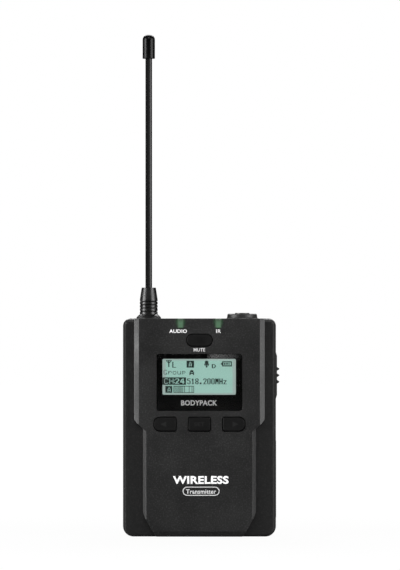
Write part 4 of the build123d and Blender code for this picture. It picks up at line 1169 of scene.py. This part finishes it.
def write(words, row, column, width=5, height=7, step=6, bold=False, inverted=False):
    """Writes letters into the picture. Bold ones are drawn twice, a dot apart. Inverted ones are bright on
    a dark box that is there already."""
    for place, letter in enumerate(words):
        for nudge in (0, 1) if bold else (0,):
            left = column + place * step + nudge
            area = picture[row : row + height, left : left + width]
            area[dots_of(letter, width, height)] = not inverted


def block(row, column, height, width, dark=True):
    """Fills a rectangle of the picture, or clears it."""
    picture[row : row + height, column : column + width] = dark


def outline(row, column, height, width):
    """Draws a rectangle's edge, one dot thick."""
    block(row, column, height, width)
    block(row + 1, column + 1, height - 2, width - 2, False)


print("dot font of", len(DOT_FONT), "letters")

# %% [markdown]
# ### What the display says
#
# From the top: an antenna with its power letter, the active input, a microphone, a small mark and the
# battery. Then the group, the channel with its frequency, and the level bar of the input.

# %% Draw the picture
ANTENNA_ICON = (
    "##########", "##..##..##", ".##.##.##.", "..######..", "...####...", "....##....", "....##....",
    "....##....", "....##....", "....##....", "....##....", "....##....",
)
MICROPHONE_ICON = (
    "..####..", ".######.", ".######.", ".######.", ".######.", "########", "########", "##.##.##",
    ".#.##.#.", "..####..", "...##...", "...##...",
)
BATTERY_ICON = (
    "..#################", "..#################", "..##.............##", "####.###.###.##..##",
    "####.###.###.##..##", "####.###.###.##..##", "..##.............##", "..#################",
    "..#################",
)


def icon(drawing, row, column):
    """Copies an icon, drawn as text with # for dark, into the picture."""
    dots = np.array([[mark == "#" for mark in line] for line in drawing])
    picture[row : row + dots.shape[0], column : column + dots.shape[1]] |= dots


icon(ANTENNA_ICON, 2, 6)
write("L", 5, 17, width=6, height=10, bold=True)
block(3, 42, 12, 13)
write("A", 5, 46, width=5, height=8, inverted=True)
icon(MICROPHONE_ICON, 3, 73)
write("D", 9, 86, width=6, height=7, bold=True)
icon(BATTERY_ICON, 4, 102)
write("Group", 19, 2, width=6, height=8, step=8)
write("A", 19, 47, width=7, height=9, bold=True)
block(32, 0, 13, 41)
write("CH", 34, 3, width=7, height=9, step=9, inverted=True)
block(36, 20, 2, 1, False)
block(40, 20, 2, 1, False)
write("24", 34, 22, width=6, height=9, step=9, bold=True, inverted=True)
write("518.200MHz", 34, 43, width=5, height=10, step=7, bold=True)
block(47, 5, 12, 12)
write("A", 49, 9, width=5, height=8, inverted=True)
for column in range(19, 37, 2):
    block(47, column, 12, 1)
block(47, 19, 1, 19)
block(58, 19, 1, 19)
outline(47, 38, 12, 17)
block(48, 46, 10, 1)
block(48, 51, 10, 1)
print(picture.sum(), "dark dots")

# %% [markdown]
# ### Dots as squares
#
# Each dark dot is a square a little smaller than its cell, which leaves the display's fine grid between
# dots. All corners are worked out at once: a cell's middle plus four fixed corner steps.

# %% The dots of the display
DOT_PITCH = 2 * VIEW_HALF[0] / COLUMNS
DOT_SHARE = 0.99
DOT_LIFT = 0.02 * MM
row_index, column_index = np.nonzero(picture)
middles = np.stack(
    [
        VIEW_MIDDLE[0] + (column_index + 0.5 - COLUMNS / 2) * DOT_PITCH,
        np.full(len(row_index), glass_y - DOT_LIFT),
        VIEW_MIDDLE[1] - (row_index + 0.5 - ROWS / 2) * DOT_PITCH,
    ],
    axis=1,
)
corner = 0.5 * DOT_SHARE * DOT_PITCH
steps = np.array([[-corner, 0, -corner], [corner, 0, -corner], [corner, 0, corner], [-corner, 0, corner]])
corners = (middles[:, None, :] + steps[None, :, :]).reshape(-1, 3)
dots = bpy.data.meshes.new("display_dots")
dots.from_pydata(corners.tolist(), [], np.arange(len(corners)).reshape(-1, 4).tolist())
crystal, tree, shader = new_material("display_dark_dots")
layer = place_group(
    tree, grain, Colour=(0.006, 0.022, 0.016, 1.0), Fleck_Colour=(0.012, 0.034, 0.025, 1.0), Roughness=0.4
)
join(tree, layer, shader)
add_piece("display_dots", dots, crystal, "pack")
print(len(dots.polygons), "squares of", round(DOT_PITCH / MM, 3), "mm")

# %% [markdown]
# ## Marks on the keys
#
# The keys carry an arrow, the word SET and another arrow, moulded tone on tone. They are thin standing
# meshes as the words are, and ride on their own keys, so they go in when a key is pressed.

# %% Key marks


def arrow_mesh(name):
    """A triangle with slightly cut corners, pointing left, as a flat prism one unit thick."""
    around = np.array([[-1.0, 0.08], [-1.0, -0.08], [0.9, -1.0], [1.0, -0.93], [1.0, 0.93], [0.9, 1.0]])
    ring = np.concatenate([around, around])
    points = np.column_stack([ring, np.repeat([-0.5, 0.5], len(around))])
    count = len(around)
    sides = [(i, (i + 1) % count, count + (i + 1) % count, count + i) for i in range(count)]
    mesh = bpy.data.meshes.new(name)
    mesh.from_pydata(points.tolist(), [], sides + [tuple(range(count)), tuple(range(count, 2 * count))[::-1]])
    return mesh


ARROW_SHIFT = 0.6 * MM
ARROW_SIZE = (2.3 * MM, 2.2 * MM)
for name, body, way in (("left_mark", "left_button", 1.0), ("right_mark", "right_button", -1.0)):
    middle = spot(name.split("_")[0] + "_key")[0]
    mesh = arrow_mesh(name)
    flat = np.empty(len(mesh.vertices) * 3)
    mesh.vertices.foreach_get("co", flat)
    flat = flat.reshape(-1, 3) * [way, 1.0, 1.0]
    mesh.vertices.foreach_set("co", flat.ravel())
    add_piece(
        name,
        stand_up(
            mesh, (middle[0] - way * ARROW_SHIFT, middle[2]), ARROW_SIZE, key_face_y + INK_SUNK, INK
        ),
        key_ink, body,
    )
middle = spot("set_key")[0]
label(
    "set_mark", "SET", (middle[0] / MM, middle[2] / MM), (4.3, 1.6), key_face_y, key_ink, "set_button", 0.02
)

# %% [markdown]
# ## The two cells
#
# Two AA cells lie head to tail behind the door. Each is a surface of revolution: a profile of distance
# along the cell and radius, turned about its axis. The profile steps from the flat end, over the rolled
# rim, along the wrap, over the shoulder and up the button. The wrap's bands follow the distance along it,
# which the piece keeps in its own UV map, so that both cells look alike.

# %% Cell profile
CELL_PROFILE = np.array(
    [
        (0.00, 0.0), (0.00, 4.6), (0.12, 4.9), (0.12, 5.6), (-0.0, 5.9), (0.02, 6.5), (0.30, 6.95),
        (0.75, 7.16), (1.30, 7.22), (2.2, 7.24), (25.0, 7.24), (47.4, 7.24), (48.2, 7.20), (48.75, 7.02),
        (49.02, 6.6), (49.08, 6.0), (48.96, 5.4), (48.92, 4.4), (49.0, 3.6), (49.2, 2.95), (49.9, 2.72),
        (50.3, 2.6), (50.46, 2.3), (50.5, 1.6), (50.5, 0.0),
    ]
)
CELL_LENGTH = 50.5 * MM


def cell_mesh(name, box_low, box_high, plus_right):
    """Turns the cell profile about its axis: the point at distance d and angle t is at d along the cell
    and at radius times cosine and sine of t across it. Its UV is (share of the length, share of a turn)."""
    turn = np.linspace(0, 2 * np.pi, 65)
    along, radius = CELL_PROFILE[:, :1] * MM, CELL_PROFILE[:, 1:] * MM
    way = 1.0 if plus_right else -1.0
    start = box_low[0] if plus_right else box_high[0]
    middle = (np.array(box_low) + np.array(box_high)) / 2
    points = np.stack(
        [
            start + way * along + 0 * turn,
            middle[1] + radius * np.cos(turn),
            middle[2] + way * radius * np.sin(turn),
        ],
        axis=-1,
    )
    uv = np.stack([along / CELL_LENGTH + 0 * turn, 0 * along + turn / (2 * np.pi)], axis=-1)
    return grid_mesh(name, points, uv=uv)


print("cell profile of", len(CELL_PROFILE), "points")

# %% [markdown]
# ### The cell's wrap
#
# The wrap is a blue printed film with two thin silver lines, over a steel can that is bare at both ends. A
# colour ramp read along the cell gives the bands, and a second one makes only the ends metal.

# %% Wrap film
FLAT_END, BUTTON_END = 0.018, 0.972
STEEL = (0.55, 0.54, 0.5, 1.0)
BLUE = (0.02, 0.05, 0.11, 1.0)
SILVER = (0.62, 0.64, 0.66, 1.0)
wrap, tree, shader = new_material("cell_wrap_film", Coat_Weight=0.35, Coat_Roughness=0.12)
where = add_node(tree, "UVMap")
split = add_node(tree, "SeparateXYZ")
bands = add_node(tree, "ValToRGB")
bands.color_ramp.interpolation = "CONSTANT"
stops = [(0.0, STEEL), (FLAT_END, BLUE), (0.70, SILVER), (0.72, BLUE), (0.955, SILVER), (BUTTON_END, STEEL)]
while len(bands.color_ramp.elements) < len(stops):
    bands.color_ramp.elements.new(0.5)
for element, (place, colour) in zip(bands.color_ramp.elements, stops):
    element.position = place
    element.color = colour
bare = add_node(tree, "ValToRGB")
bare.color_ramp.interpolation = "CONSTANT"
bare.color_ramp.elements[0].color = WHITE
bare.color_ramp.elements[1].position = FLAT_END
bare.color_ramp.elements[1].color = BLACK
bare.color_ramp.elements.new(BUTTON_END).color = WHITE
film = place_group(tree, grain, Grains_per_Metre=1500.0, Roughness=0.32, Roughness_Spread=0.06)
worn = place_group(tree, rubbed, Edge_Colour=shade_of(0.5), Edge_Roughness=0.25, Amount=0.3)
tree.links.new(where.outputs["UV"], split.inputs[0])
tree.links.new(split.outputs["X"], bands.inputs["Fac"])
tree.links.new(split.outputs["X"], bare.inputs["Fac"])
tree.links.new(bands.outputs["Color"], film.inputs["Colour"])
tree.links.new(bands.outputs["Color"], film.inputs["Fleck Colour"])
tree.links.new(bare.outputs["Color"], shader.inputs["Metallic"])
join(tree, film, worn)
join(tree, worn, shader)
print("wrap of", len(stops), "bands")

# %% Place the cells
for name, plus_right in (("upper", True), ("lower", False)):
    low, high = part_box("aa_cell_" + name)
    piece = add_piece(
        name + "_cell", cell_mesh(name + "_cell", low, high, plus_right), wrap, "pack"
    )
    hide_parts("aa_cell_" + name)
    print(piece.name, len(piece.data.polygons), "faces")
